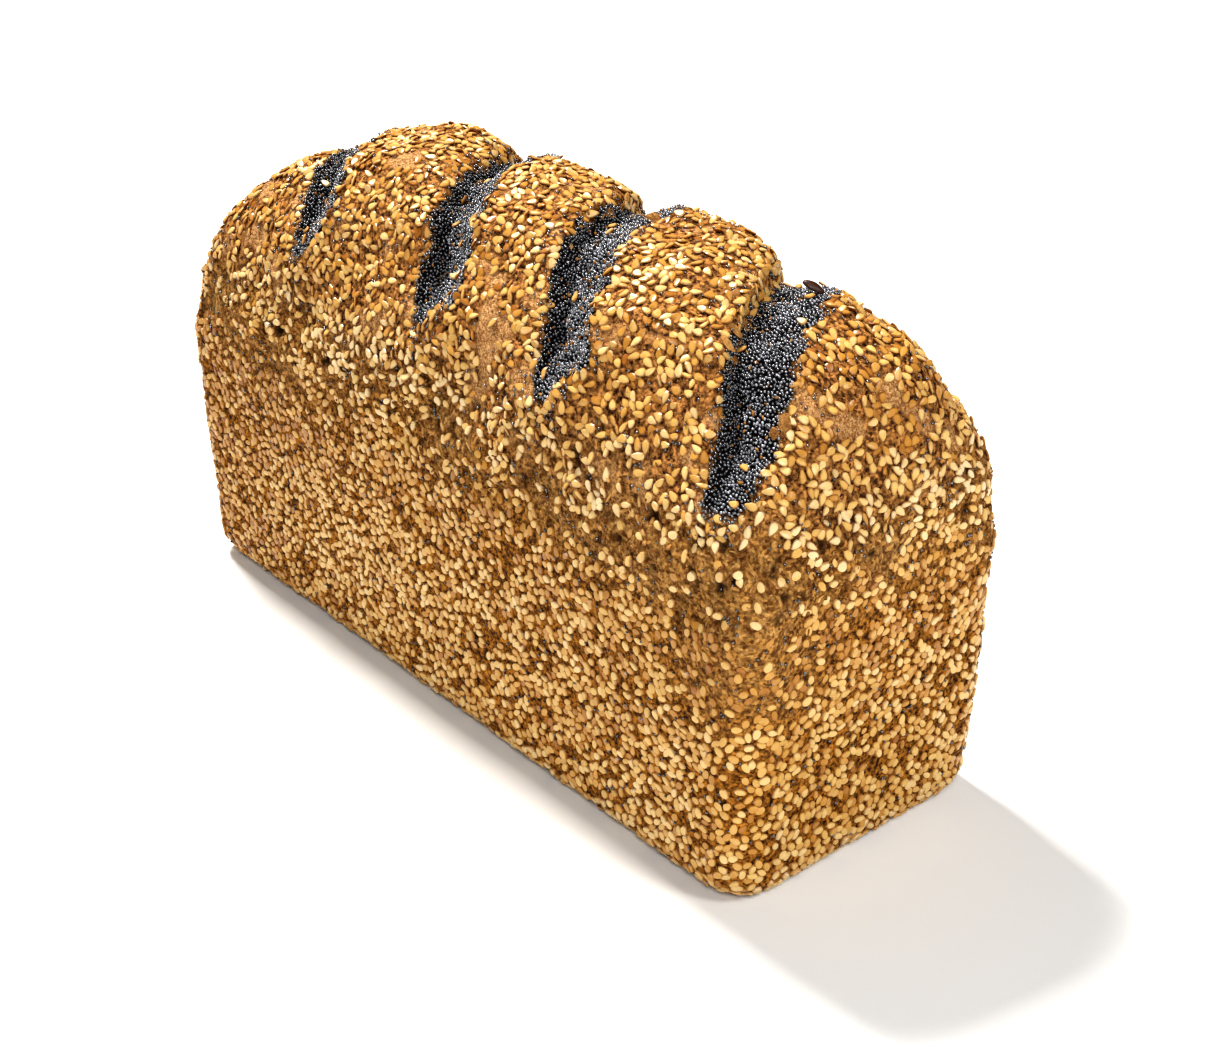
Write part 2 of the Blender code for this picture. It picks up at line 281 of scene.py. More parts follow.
def waves(place, table):
    """A slow, irregular swell made of crossed waves."""
    swell = np.zeros(len(place))
    for height, length, turn in table:
        rate = math.tau / length
        first = place[:, 0] * math.cos(turn) + place[:, 1] * math.sin(turn)
        second = place[:, 1] * math.cos(turn) - place[:, 0] * math.sin(turn)
        rising = place[:, 2] + turn * length
        swell += height * np.sin(rate * first + WAVE_SWAY * np.sin(rate * SWAY_RATE * rising))
        swell += CROSS_SHARE * height * np.sin(rate * (CROSS_RATE * second + RISE_RATE * rising))
    return swell


def loaf_relief(place):
    """How far the crust stands out of or into the plain loaf form."""
    crown_share = smooth_step((place[:, 2] - SHOULDER_HEIGHT) / RELIEF_BLEND)
    lift_share = smooth_step(place[:, 2] / (2.0 * FOOT_RADIUS))
    crags = waves(place, BED_CRAGS)
    relief = crown_share * (slash_relief(place) + waves(place, CROWN_WAVES) + swells(place))
    relief += crown_share * bed_share(place) * crags
    relief += (1.0 - crown_share) * lift_share * waves(place, SIDE_WAVES)
    return relief


print("Slashes cross the ridge at", [round(x / MM) for x in SLASH_RIDGE_X], "mm")

# %% [markdown]
# ## The crust
#
# The crust starts as a cube. Its bottom face is taken out, so that the base can
# later be closed by one flat face, and then the edges that run along each axis
# are divided in turn. Dividing only parallel edges cuts the faces into tidy
# strips, and doing so for all three axes gives a grid. One subdivision makes a
# hundred cuts at most, so the long axis takes two rounds.

# %% Divide a cube into a fine grid
CELLS_LONG = (16, 15)
CELLS_ACROSS = (100,)
CELLS_UP = (76,)
FACING_DOWN = -0.9


def edit(piece, kind):
    """Open a piece in edit mode, picking vertices, edges or faces."""
    bpy.ops.object.select_all(action="DESELECT")
    piece.select_set(True)
    bpy.context.view_layer.objects.active = piece
    bpy.ops.object.mode_set(mode="EDIT")
    bpy.ops.mesh.select_mode(type=kind)
    bpy.ops.mesh.select_all(action="DESELECT")


def pick(piece, parts, wanted):
    """Select the parts of the open mesh that a rule wants, and nothing else."""
    mesh = bmesh.from_edit_mesh(piece.data)
    for part in getattr(mesh, parts):
        part.select_set(wanted(part))
    mesh.select_flush_mode()
    bmesh.update_edit_mesh(piece.data)


def divide_along(piece, axis, rounds):
    """Cut every edge that runs along one axis, once for each round."""
    def runs_along(edge):
        run = edge.verts[1].co - edge.verts[0].co
        return abs(run[axis]) > 0.5 * run.length

    for cells in rounds:
        bpy.ops.mesh.select_all(action="DESELECT")
        wanted = {edge.index for edge in bmesh.from_edit_mesh(piece.data).edges if runs_along(edge)}
        pick(piece, "edges", lambda edge: edge.index in wanted)
        bpy.ops.mesh.subdivide(number_cuts=cells - 1)


crust = add_object(bpy.ops.mesh.primitive_cube_add, "crust", size=2.0)
edit(crust, "FACE")
pick(crust, "faces", lambda face: face.normal.z < FACING_DOWN)
bpy.ops.mesh.delete(type="ONLY_FACE")
bpy.ops.mesh.select_mode(type="EDGE")
for axis, rounds in enumerate((CELLS_LONG, CELLS_ACROSS, CELLS_UP)):
    divide_along(crust, axis, rounds)
bpy.ops.object.mode_set(mode="OBJECT")
print("Crust grid:", len(crust.data.polygons), "faces")

# %% [markdown]
# Each grid point now goes to its place on the loaf, and then out of or into the
# surface along its normal. The normals of the plain form are needed for that,
# so the points are moved in two steps. Three rounds of smoothing soften the
# crown as the dough's skin did, and the open base is closed by one face.

# %% Shape the grid into the loaf
SMOOTH_ROUNDS = 3


def read_points(piece, kind="co"):
    """The places of a mesh's points, or their normals, as an array."""
    flat = np.empty(len(piece.data.vertices) * 3)
    piece.data.vertices.foreach_get(kind, flat)
    return flat.reshape(-1, 3)


def write_points(piece, places):
    piece.data.vertices.foreach_set("co", places.ravel())
    piece.data.update()


formed = loaf_form(read_points(crust))
write_points(crust, formed)
above_base = formed[:, 2] > BASE_LIFT + TOUCHING
shaped = formed + read_points(crust, "normal") * (loaf_relief(formed) * above_base)[:, None]
write_points(crust, shaped)

edit(crust, "VERT")
pick(crust, "verts", lambda vert: vert.co.z > SHOULDER_HEIGHT)
bpy.ops.mesh.vertices_smooth(factor=0.5, repeat=SMOOTH_ROUNDS)
bpy.ops.mesh.select_all(action="DESELECT")
bpy.ops.mesh.select_mode(type="EDGE")
pick(crust, "edges", lambda edge: edge.is_boundary)
bpy.ops.mesh.edge_face_add()
bpy.ops.object.mode_set(mode="OBJECT")

smoothed = read_points(crust)
box_middle = (smoothed.min(axis=0) + smoothed.max(axis=0)) / 2
smoothed[:, :2] -= box_middle[:2]
write_points(crust, smoothed)
print("Crust box in mm:", [round(side / MM, 1) for side in crust.dimensions])

# %% [markdown]
# The skin of the crown is never smooth: it has dimples and small blisters some
# millimetres across, and it is craggy under the seeds. A smooth random field
# makes such unevenness. It is the sum of many flat waves that run in seeded
# random directions, so it has no grid, no seams and no favoured direction, and
# it also says later where seeds lie thin and where they browned more. The few
# larger holes are put where the picture shows them, by a ray through the pixel.

# %% Dimple the crust
CLOUD_WAVES = 22
CLOUD_SPREAD = (0.75, 1.35)
CLOUD_LEVEL = 0.6


def cloud(place, size, seed):
    """A smooth random field, about -1 to 1, with patches of one size."""
    draw = np.random.default_rng(seed)
    heading = draw.normal(size=(CLOUD_WAVES, 3))
    heading /= np.linalg.norm(heading, axis=1)[:, None]
    rate = math.tau / (size * 2.0 * draw.uniform(*CLOUD_SPREAD, CLOUD_WAVES))
    start = draw.uniform(0.0, math.tau, CLOUD_WAVES)
    field = np.zeros(len(place))
    for step in range(CLOUD_WAVES):
        field += np.sin(place @ heading[step] * rate[step] + start[step])
    return field / math.sqrt(CLOUD_WAVES * 0.5) * CLOUD_LEVEL


def tree_of(piece):
    """A search tree of a piece's faces, for rays."""
    return BVHTree.FromPolygons([tuple(place) for place in read_points(piece)],
                                [tuple(face.vertices) for face in piece.data.polygons])


def crust_at(pixel):
    """The place on the crust that a pixel of the picture shows, and the normal there."""
    across = (pixel[0] - FRAME_WIDTH / 2) / LENS_PIXELS
    down = (pixel[1] - FRAME_HEIGHT / 2) / LENS_PIXELS
    ray = (view_right * across - view_up * down - view_back).normalized()
    place, normal, _, _ = crust_tree.ray_cast(view_place, ray)
    return place, normal


crust_tree = tree_of(crust)
DIMPLES = ((0.0045, 0.00025, 11), (0.0022, 0.00016, 12))
SIDE_DIMPLES = 0.25
CRAG_HEIGHT = 0.087
CRAG_REACH = 0.012
CRAG_CLOUD = (0.0032, 13)
CRAG_DEPTH = 0.0004
PIT_CLOUD = (0.0024, 14)
PIT_START = 0.45
PIT_BLEND = 0.5
PIT_DEPTH = 0.0011
HOLES = (((393, 371), 0.0019), ((677, 620), 0.0019), ((695, 622), 0.0017), ((585, 478), 0.0015),
         ((452, 425), 0.0014), ((880, 490), 0.0015), ((715, 667), 0.0012), ((822, 583), 0.0012),
         ((650, 583), 0.0012), ((268, 379), 0.0013))
HOLE_DEPTH = 0.0017
RIM_CREASE_HEIGHT = 0.0765
RIM_CREASE_REACH = 0.0035
RIM_CREASE_DEPTH = 0.0006
RIM_CREASE_CLOUD = (0.016, 15)
RIM_CREASE_UNEVEN = 0.8


def bump_over(place, middle, reach):
    """1 at one height above the base, fading out above and below."""
    return np.exp(-((place[:, 2] - middle) / reach) ** 2)


def pits(place):
    """1 in the small deep holes of the craggy strip above the tin's rim."""
    deep = smooth_step((cloud(place, *PIT_CLOUD) - PIT_START) / PIT_BLEND)
    return bump_over(place, CRAG_HEIGHT, CRAG_REACH) * deep


hole_places = [np.array(tuple(crust_at(pixel)[0])) for pixel, _ in HOLES]


def holes(place):
    """1 in the few larger holes that the picture shows, fading out at their rims."""
    depth = np.zeros(len(place))
    for middle, (_, reach) in zip(hole_places, HOLES):
        depth = np.maximum(depth, np.exp(-(np.linalg.norm(place - middle, axis=1) / reach) ** 2))
    return depth


places = read_points(crust)
crown_skin = smooth_step((places[:, 2] - SHOULDER_HEIGHT) / RELIEF_BLEND)
craggy = bump_over(places, CRAG_HEIGHT, CRAG_REACH)
dent = np.zeros(len(places))
for size, height, seed in DIMPLES:
    dent += (SIDE_DIMPLES + (1.0 - SIDE_DIMPLES) * crown_skin) * height * cloud(places, size, seed)
dent += craggy * CRAG_DEPTH * cloud(places, *CRAG_CLOUD)
dent -= PIT_DEPTH * pits(places)
dent -= HOLE_DEPTH * holes(places)
dent -= bump_over(places, RIM_CREASE_HEIGHT, RIM_CREASE_REACH) * RIM_CREASE_DEPTH * (
    1.0 + RIM_CREASE_UNEVEN * cloud(places, *RIM_CREASE_CLOUD))
dent *= smooth_step(places[:, 2] / FOOT_RADIUS)
write_points(crust, places + read_points(crust, "normal") * dent[:, None])
crust.data.polygons.foreach_set("use_smooth", np.ones(len(crust.data.polygons), dtype=bool))
print("Dimples up to", round(np.abs(dent).max() / MM, 2), "mm")

# %% [markdown]
# ## Where things lie
#
# Tens of thousands of seeds can't be placed by hand. Many more random places
# than needed are drawn on the crust, evenly by area. They are then taken one by
# one in random order, and each seed that is laid strikes out the places that
# are too close to it. Because a seed is longer than it is wide, it is treated
# as three discs in a row: that lets neighbours lie side by side along their
# length, as real seeds do when they are pressed together.

# %% Draw places on the crust
SQUARE_CM = 1e-4
SMALLEST_AREA = 1e-15
FACING_TABLE = -0.99


def read_corners(piece):
    """The point numbers of a mesh's triangles."""
    piece.data.calc_loop_triangles()
    corners = np.empty(len(piece.data.loop_triangles) * 3, dtype=np.int32)
    piece.data.loop_triangles.foreach_get("vertices", corners)
    return corners.reshape(-1, 3)


def draw_places(per_square_mm, seed, wanted=None):
    """Seeded random points on the crust, with the surface's normals."""
    draw = np.random.default_rng(seed)
    corners = read_corners(crust)
    points = read_points(crust)[corners]
    crossed = np.cross(points[:, 1] - points[:, 0], points[:, 2] - points[:, 0])
    area = np.linalg.norm(crossed, axis=1) / 2
    flat_normal = crossed / np.maximum(area * 2, SMALLEST_AREA)[:, None]
    if wanted is not None:
        area = area * wanted(points.mean(axis=1))
    count = int(area.sum() / MM ** 2 * per_square_mm)
    picked = draw.choice(len(area), size=count, p=area / area.sum())
    root = np.sqrt(draw.random(count))
    other = draw.random(count)
    weights = np.stack((1.0 - root, root * (1.0 - other), root * other), axis=1)
    place = (points[picked] * weights[:, :, None]).sum(axis=1)
    normal = (read_points(crust, "normal")[corners[picked]] * weights[:, :, None]).sum(axis=1)
    base = flat_normal[picked, 2] < FACING_TABLE
    normal[base] = flat_normal[picked][base]
    normal /= np.linalg.norm(normal, axis=1)[:, None]
    return place, normal


def only(mask, *arrays):
    """The rows of each array that a mask or a list of numbers picks."""
    return [array[mask] for array in arrays]


def random_axes(normal, draw):
    """A random direction within the surface at each place."""
    axis = np.cross(normal, draw.normal(size=normal.shape))
    return axis / np.linalg.norm(axis, axis=1)[:, None]


def point_tree(place):
    """A search tree of places, for neighbours."""
    tree = KDTree(len(place))
    for number, point in enumerate(place):
        tree.insert(point, number)
    tree.balance()
    return tree


def keep_apart(place, axis, gap, reach):
    """Take places in order, each one striking out those whose discs come too close."""
    tree = point_tree(place)
    gap = np.broadcast_to(gap, len(place))
    discs = place[:, None, :] + axis[:, None, :] * (np.array((-1.0, 0.0, 1.0)) * reach)[None, :, None]
    free = np.ones(len(place), dtype=bool)
    chosen = []
    for number in range(len(place)):
        if not free[number]:
            continue
        chosen.append(number)
        found = tree.find_range(place[number], gap[number] + 2.0 * reach)
        near = np.array([index for _, index, _ in found])
        near = near[free[near]]
        between = discs[near][:, :, None, :] - discs[number][None, None, :, :]
        apart = np.sqrt((between ** 2).sum(axis=3)).min(axis=(1, 2))
        free[near[apart < gap[number]]] = False
    return np.array(chosen)


print("Crust area:", round(sum(face.area for face in crust.data.polygons) / SQUARE_CM), "square cm")

# %% [markdown]
# On the sides and the ends the dough was pressed against the seeded tin, so the
# seeds lie tight and overlap a little. On the crown they were only strewn, and
# the dough stretched as it rose: they lie looser, in drifts, with bare patches
# between. Just above the tin's rim, where the crown swelled out, they are
# thinnest of all, and the slashes opened after seeding, so they have none.

# %% Map where seeds lie thick and thin
CROWN_LINE = 0.092
CROWN_LINE_SWAY = 0.004
CROWN_LINE_CLOUD = (0.020, 21)
CROWN_BLEND = 0.012
THIN_HEIGHT = 0.085
THIN_REACH = 0.0125
THIN_SWAY = 0.004
THIN_SWAY_CLOUD = (0.03, 22)
THIN_SHARE = 0.66
THIN_UNEVEN = 0.45
THIN_CLOUD = (0.012, 23)
CORNER_X = 0.115
CORNER_Y = -0.041
CORNER_REACH = 0.024
CORNER_SHARE = 0.80
CORNER_RANGE = ((0.034, 0.030), (0.084, 0.010))
DRIFT_CLOUD = (0.009, 33)
SMALL_DRIFT_CLOUD = (0.0045, 34)
SMALL_DRIFTS = 0.6
RIDGE_DRIFT = (0.6, 0.121, 0.012)
NEAR_END_DRIFT = (0.5, 0.088, 0.012)
BED_END_FILL = (0.62, 0.62, 0.62, 1.30)
BED_SPILL = (0.0, 0.0, 0.0, 0.0022)
BED_LEFT = (0.0009, 0.0040, 24)
BED_RIGHT = (0.0018, 0.0040, 25)
BED_WIDENING = 1.4
BED_LEAST_FADE = 0.05


def step_over(value, start, blend):
    """0 up to the start, rising to 1 over the blend."""
    return smooth_step((value - start) / blend)


def crown_of(place):
    """0 on the sides, 1 on the crown, with a wavering line between."""
    line = CROWN_LINE + CROWN_LINE_SWAY * cloud(place, *CROWN_LINE_CLOUD)
    return smooth_step((place[:, 2] - line) / CROWN_BLEND + 0.5)


def thin_band(place):
    """1 in the strip above the tin's rim where few seeds held on, and near the front corner."""
    off = place[:, 2] - THIN_HEIGHT - THIN_SWAY * cloud(place, *THIN_SWAY_CLOUD)
    band = np.exp(-(off / THIN_REACH) ** 2)
    away = np.hypot(place[:, 0] - CORNER_X, place[:, 1] - CORNER_Y)
    corner = np.exp(-(away / CORNER_REACH) ** 2) * step_over(place[:, 2], *CORNER_RANGE[0])
    corner *= 1.0 - step_over(place[:, 2], *CORNER_RANGE[1])
    uneven = THIN_SHARE + THIN_UNEVEN * cloud(place, *THIN_CLOUD)
    return np.clip(band * uneven + CORNER_SHARE * corner, 0.0, 1.0)


def drift_of(place):
    """Where the crown's seeds lie in drifts, above 0, and where bare, below; full on the ridge."""
    ridge = RIDGE_DRIFT[0] * step_over(place[:, 2], *RIDGE_DRIFT[1:])
    near_end = NEAR_END_DRIFT[0] * step_over(place[:, 0], *NEAR_END_DRIFT[1:])
    drifts = cloud(place, *DRIFT_CLOUD) + SMALL_DRIFTS * cloud(place, *SMALL_DRIFT_CLOUD)
    return drifts + np.maximum(ridge, near_end)


def in_bed(place, margin=0.0):
    """Whether a place is on the floor of a slash, which ends in a ragged line."""
    found = np.zeros(len(place), dtype=bool)
    left = BED_LEFT[0] * cloud(place, *BED_LEFT[1:])
    right = BED_RIGHT[0] * cloud(place, *BED_RIGHT[1:])
    for index in range(len(SLASH_RIDGE_X)):
        past_wall, width, fade = slash_frame(place, index)
        end_fill = BED_END_FILL[index]
        filled = width * (end_fill + (1.0 - end_fill) * smooth_step(BED_WIDENING * fade))
        spill = BED_SPILL[index] * (1.0 - smooth_step(fade))
        across = (past_wall > left - spill - margin) & (past_wall < filled + right + margin)
        found |= across & (fade > BED_LEAST_FADE) & (place[:, 2] > SHOULDER_HEIGHT)
    return found


places = read_points(crust)
for label, share in (("crown", crown_of(places)), ("thin strip", thin_band(places)),
                     ("slash floors", in_bed(places))):
    print("Share of the crust's points,", label + ":", round(float(share.mean()), 3))

# %% [markdown]
# Every place that the seeds could take is now filled, with the seeds on the
# crown a little apart. Then some are lost again: a few everywhere, more in the
# bare patches and in the thin strip, nearly none on the base, and every seed
# over one of the larger holes.

# %% Choose the sesame's places
SESAME_LENGTH = 0.0030
SESAME_WIDTH = 0.0019
PRESSED_LENGTH = 0.0028
PRESSED_WIDTH = 0.00205
SIDE_GAP = 0.62
CROWN_GAP = 0.60
BED_GAP = 0.0005
SESAME_DRAWS = 3.6
SESAME_START = 31
LOST_EVERYWHERE = 0.20
LOST_UNEVEN = 0.12
LOST_CLOUD = (0.007, 35)
LOST_ON_CROWN = 0.25
LOST_IN_BARE = 0.60
BARE_START = 0.48
BARE_BLEND = 0.45
LOST_IN_BAND = 0.82
LOST_ON_BASE = 0.05
HOLE_SHARE = 0.35
BASE_HEIGHT = 0.001

draw = np.random.default_rng(SESAME_START)
place, normal = draw_places(SESAME_DRAWS, SESAME_START + 1)
axis = random_axes(normal, draw)
place, normal, axis = only(~in_bed(place, BED_GAP), place, normal, axis)
crown = crown_of(place)
gap = SESAME_WIDTH * (SIDE_GAP + (CROWN_GAP - SIDE_GAP) * crown)
chosen = keep_apart(place, axis, gap, (SESAME_LENGTH - SESAME_WIDTH) / 2)
place, normal, axis, crown = only(chosen, place, normal, axis, crown)

bare = smooth_step((-BARE_START - drift_of(place)) / BARE_BLEND)
lost = LOST_EVERYWHERE + LOST_UNEVEN * cloud(place, *LOST_CLOUD)
lost = np.maximum(lost, crown * (LOST_ON_CROWN + LOST_IN_BARE * bare))
lost = np.maximum(lost, LOST_IN_BAND * thin_band(place))
lost = np.where(holes(place) > HOLE_SHARE, 1.0, lost)
lost = np.where(place[:, 2] < BASE_HEIGHT, LOST_ON_BASE, lost)
held = draw.random(len(place)) > lost
place, normal, axis, crown = only(held, place, normal, axis, crown)
sesame = {"place": place, "normal": normal, "axis": axis, "crown": crown}
print("Sesame seeds:", len(place), "of", len(chosen))

# %% [markdown]
# ## The seeds
#
# A sesame seed is a flat teardrop. It starts as a ten-sided disc: its face is
# extruded and scaled twice to give the belly and the rounded top, the two end
# faces are poked into points, and then the points at one end are drawn together
# into the tip. A seed that was pressed into the side of the loaf shows only its
# flat upper part, so it needs one extrusion less, and one on the base has six
# sides. Each kind is modelled once.

# %% Model the seeds
SEED_SIDES = 10
BASE_SEED_SIDES = 6
TIP_FLATNESS = 0.4
PEAK_LIFT = 0.10
PLUMP_LAYERS = ((-0.36, 0.74), (0.34, 1.35), (0.34, 0.74))
PLUMP_PINCH = 0.50
PRESSED_LAYERS = ((-0.35, 1.0), (0.70, 0.80))
PRESSED_PINCH = 0.24
POPPY_NARROWING = 0.86
POPPY_BEND = 0.35
# Where the painted shade on a seed's rim and underside begins and how fast it fades in.
RIM_SHADE_TOP = 0.40
RIM_SHADE_BLEND = 0.65


def model_sesame(name, sides, layers, pinch):
    """A teardrop seed, one unit long and wide, built up from a disc by extruding its face."""
    piece = add_object(bpy.ops.mesh.primitive_circle_add, name,
                       vertices=sides, radius=0.5, fill_type="NGON")
    edit(piece, "FACE")
    bpy.ops.mesh.select_all(action="SELECT")
    for layer, (rise, spread) in enumerate(layers):
        if layer == 0:
            bpy.ops.transform.translate(value=(0.0, 0.0, rise))
        else:
            bpy.ops.mesh.extrude_region_move(TRANSFORM_OT_translate={"value": (0.0, 0.0, rise)})
        bpy.ops.transform.resize(value=(spread, spread, 1.0))
    pick(piece, "faces", lambda face: len(face.verts) > 4)
    bpy.ops.mesh.poke(offset=PEAK_LIFT)
    bpy.ops.mesh.select_all(action="SELECT")
    bpy.ops.mesh.quads_convert_to_tris()
    bpy.ops.mesh.normals_make_consistent(inside=False)
    bpy.ops.object.mode_set(mode="OBJECT")
    places = read_points(piece)
    forward = smooth_step(places[:, 0] + 0.5)
    places[:, 1] *= 1.0 - pinch * forward
    places[:, 2] *= 1.0 - TIP_FLATNESS * pinch * forward
    places[:, :2] /= np.ptp(places[:, :2], axis=0)
    places[:, 0] -= (places[:, 0].min() + places[:, 0].max()) / 2
    write_points(piece, places)
    return piece


def model_poppy_seed():
    """A poppy seed: a small bead with one side pulled in, like a kidney."""
    piece = add_object(bpy.ops.mesh.primitive_ico_sphere_add, "poppy_seed", subdivisions=1, radius=0.5)
    places = read_points(piece)
    places[:, 1] *= POPPY_NARROWING
    places[:, 1] += POPPY_BEND * places[:, 0] ** 2
    write_points(piece, places)
    return piece


def take_shape(piece, smooth):
    """Keep a modelled seed as arrays, and remove its object."""
    corners = read_corners(piece)
    points = read_points(piece)
    # 1 at a seed's underside and rim and 0 on its top: the material darkens these points as painted shade
    # where the seed meets the crust.
    rim = smooth_step((RIM_SHADE_TOP - points[:, 2]) / RIM_SHADE_BLEND)
    print(piece.name, "has", len(corners), "triangles")
    bpy.data.objects.remove(piece, do_unlink=True)
    return {"points": points, "corners": corners.ravel(), "rim": rim, "smooth": smooth}


plump_seed = take_shape(model_sesame("plump_seed", SEED_SIDES, PLUMP_LAYERS, PLUMP_PINCH), False)
pressed_seed = take_shape(model_sesame("pressed_seed", SEED_SIDES, PRESSED_LAYERS, PRESSED_PINCH), False)
base_seed = take_shape(model_sesame("base_seed", BASE_SEED_SIDES, PRESSED_LAYERS, PRESSED_PINCH), False)
poppy_seed = take_shape(model_poppy_seed(), True)

# %% [markdown]
# ## Laying the seeds
#
# A particle system or instances would be lighter, but the finished loaf has to
# be plain meshes. So each kind's copies are joined into one mesh from arrays:
# the seed's points are scaled, turned and moved for every place at once. Three
# numbers travel with the mesh for the materials: each seed's own tone, which for
# poppy seeds near a lip holds painted shade; how much it was toasted, with painted
# shade at the far end; and how near its rim a point is, which sets the painted
# shade at the seed's rim and underside.

# %% Join copies into one mesh
def copy_frames(normal, axis, tilt, draw):
    """Turning matrices whose X is a seed's length and Z its upper side."""
    up = normal + draw.normal(size=normal.shape) * tilt
    up /= np.linalg.norm(up, axis=1)[:, None]
    along = axis - (axis * up).sum(axis=1)[:, None] * up
    along /= np.linalg.norm(along, axis=1)[:, None]
    aside = np.cross(up, along)
    return np.stack((along, aside, up), axis=2)


def join_copies(name, shape, place, frames, scale, tone, toast_and_shade):
    """One mesh that holds a turned, scaled copy of the shape at every place."""
    count = len(place)
    repeat = len(shape["points"])
    points = shape["points"][None, :, :] * scale[:, None, :]
    points = np.einsum("nij,nkj->nki", frames, points) + place[:, None, :]
    corners = shape["corners"][None, :] + (np.arange(count) * repeat)[:, None]
    triangles = corners.size // 3
    data = bpy.data.meshes.new(name)
    data.vertices.add(count * repeat)
    data.vertices.foreach_set("co", points.ravel())
    data.loops.add(corners.size)
    data.loops.foreach_set("vertex_index", corners.ravel())
    data.polygons.add(triangles)
    data.polygons.foreach_set("loop_start", np.arange(triangles) * 3)
    data.update(calc_edges=True)
    data.polygons.foreach_set("use_smooth", np.full(triangles, shape["smooth"]))
    for label, values in (("tone", np.repeat(tone, repeat)),
                          ("toast_and_shade", np.repeat(toast_and_shade, repeat)),
                          ("rim", np.tile(shape["rim"], count))):
        data.attributes.new(label, "FLOAT", "POINT").data.foreach_set("value", values)
    piece = bpy.data.objects.new(name, data)
    bpy.context.scene.collection.objects.link(piece)
    print(name, "has", count, "copies and", triangles, "triangles")
    return piece

# %% [markdown]
# Each seed differs a little in length, width and thickness. On the crown it
# lies proud and may lean; on the sides it is sunk until little more than its
# face shows; on the base, which carried the loaf, the seeds were pressed flush.
# No point of a seed may reach below the table, so it is moved up to it. The
# three kinds of laying give the shape, its size, its rise and its tilt.

# %% Lay the sesame
PLUMP_SIZE = (SESAME_LENGTH, SESAME_WIDTH, 0.0011)
PRESSED_SIZE = (PRESSED_LENGTH, PRESSED_WIDTH, 0.0011)
SIZE_SPREAD = 0.09
SUNK_SHARE = 0.28
SUNK_DEPTH = 0.00030
SUNK_TOAST = 0.22
FILMED = (0.066, 0.012)
FILMED_SHARE = 0.45
RISE_SPREAD = 0.00010
TOAST = 0.28
TOP_TOAST = 0.06
TOP_RANGE = (0.095, 0.030)
FOOT_PALENESS = 0.24
FOOT_OF_CROWN = (0.092, 0.010)
TOAST_UNEVEN = 0.06
TOAST_CLOUD = (0.016, 41)
# Painted shade that darkens the seeds towards the far end, where less light falls.
FAR_END_SHADE = 0.16
FAR_SHADE_RANGE = (0.02, 0.09)
CROWN_EDGE = 0.25
END_FACING = 0.7
STREWN = (0.00032, 0.24)
PRESSED = (0.00012, 0.10)
FLUSH = (-0.00016, 0.02)
PARTS_START = 51


def varied(draw, count, size, spread):
    """Slightly different sizes for each copy."""
    return np.array(size)[None, :] * (1.0 + spread * np.clip(draw.normal(size=(count, 3)), -2.0, 2.0))


def seed_toast_and_shade(place, crown):
    """More toasting on the crown and less at the crown's foot, with painted shade darkening the far end."""
    top = step_over(place[:, 2], *TOP_RANGE)
    toast_and_shade = TOAST + TOP_TOAST * top * crown - FOOT_PALENESS * bump_over(place, *FOOT_OF_CROWN)
    toast_and_shade += TOAST_UNEVEN * cloud(place, *TOAST_CLOUD)
    # Towards the far end the seeds are darkened as painted shade.
    return toast_and_shade + FAR_END_SHADE * step_over(-place[:, 0], *FAR_SHADE_RANGE) * (1.0 - top)


def lay_sesame(name, mask, way, seed):
    """The seeds of one part of the crust, as one mesh."""
    shape, size, (rise, tilt) = way
    draw = np.random.default_rng(seed)
    place, normal, axis, crown = only(mask, *sesame.values())
    scale = varied(draw, len(place), size, SIZE_SPREAD)
    share = SUNK_SHARE + FILMED_SHARE * bump_over(place, *FILMED)
    sunk = (draw.random(len(place)) < share) & (place[:, 2] > BASE_HEIGHT)
    lift = rise + RISE_SPREAD * draw.normal(size=len(place)) - SUNK_DEPTH * sunk
    frames = copy_frames(normal, axis, tilt, draw)
    tone = draw.random(len(place))
    toast_and_shade = seed_toast_and_shade(place, crown) + SUNK_TOAST * sunk
    piece = join_copies(name, shape, place + normal * lift[:, None], frames, scale, tone, toast_and_shade)
    points = read_points(piece)
    points[:, 2] = np.maximum(points[:, 2], 0.0)
    write_points(piece, points)
    return piece


on_base = sesame["place"][:, 2] < BASE_HEIGHT
on_crown = (sesame["crown"] > CROWN_EDGE) & ~on_base
on_end = (np.abs(sesame["normal"][:, 0]) > END_FACING) & ~on_crown & ~on_base
on_side = ~(on_base | on_crown | on_end)
front = sesame["place"][:, 1] < 0.0
strewn = (plump_seed, PLUMP_SIZE, STREWN)
pressed = (pressed_seed, PRESSED_SIZE, PRESSED)
parts = (("sesame_crown_front", on_crown & front, strewn), ("sesame_crown_back", on_crown & ~front, strewn),
         ("sesame_side_front", on_side & front, pressed), ("sesame_side_back", on_side & ~front, pressed),
         ("sesame_ends", on_end, pressed), ("sesame_base", on_base, (base_seed, PRESSED_SIZE, FLUSH)))
sesame_pieces = [lay_sesame(*part, PARTS_START + number) for number, part in enumerate(parts)]

# %% [markdown]
# The slashes were filled with poppy seeds before the dough opened, and the
# floor stretched under them. They lie in one dense layer with a looser one on
# top, and some rolled out over the lips and stuck between the sesame seeds. A
# layer is given by its draws per square millimetre, the gap between its seeds,
# its rise, the share that is missing and its seed for the random draws.

# %% Lay the poppy seeds
POPPY_SIZE = 0.00084
POPPY_SIDES = (POPPY_SIZE, POPPY_SIZE * 0.92, POPPY_SIZE * 0.8)
POPPY_TILT = 0.5
LIP_SHADE = 0.5
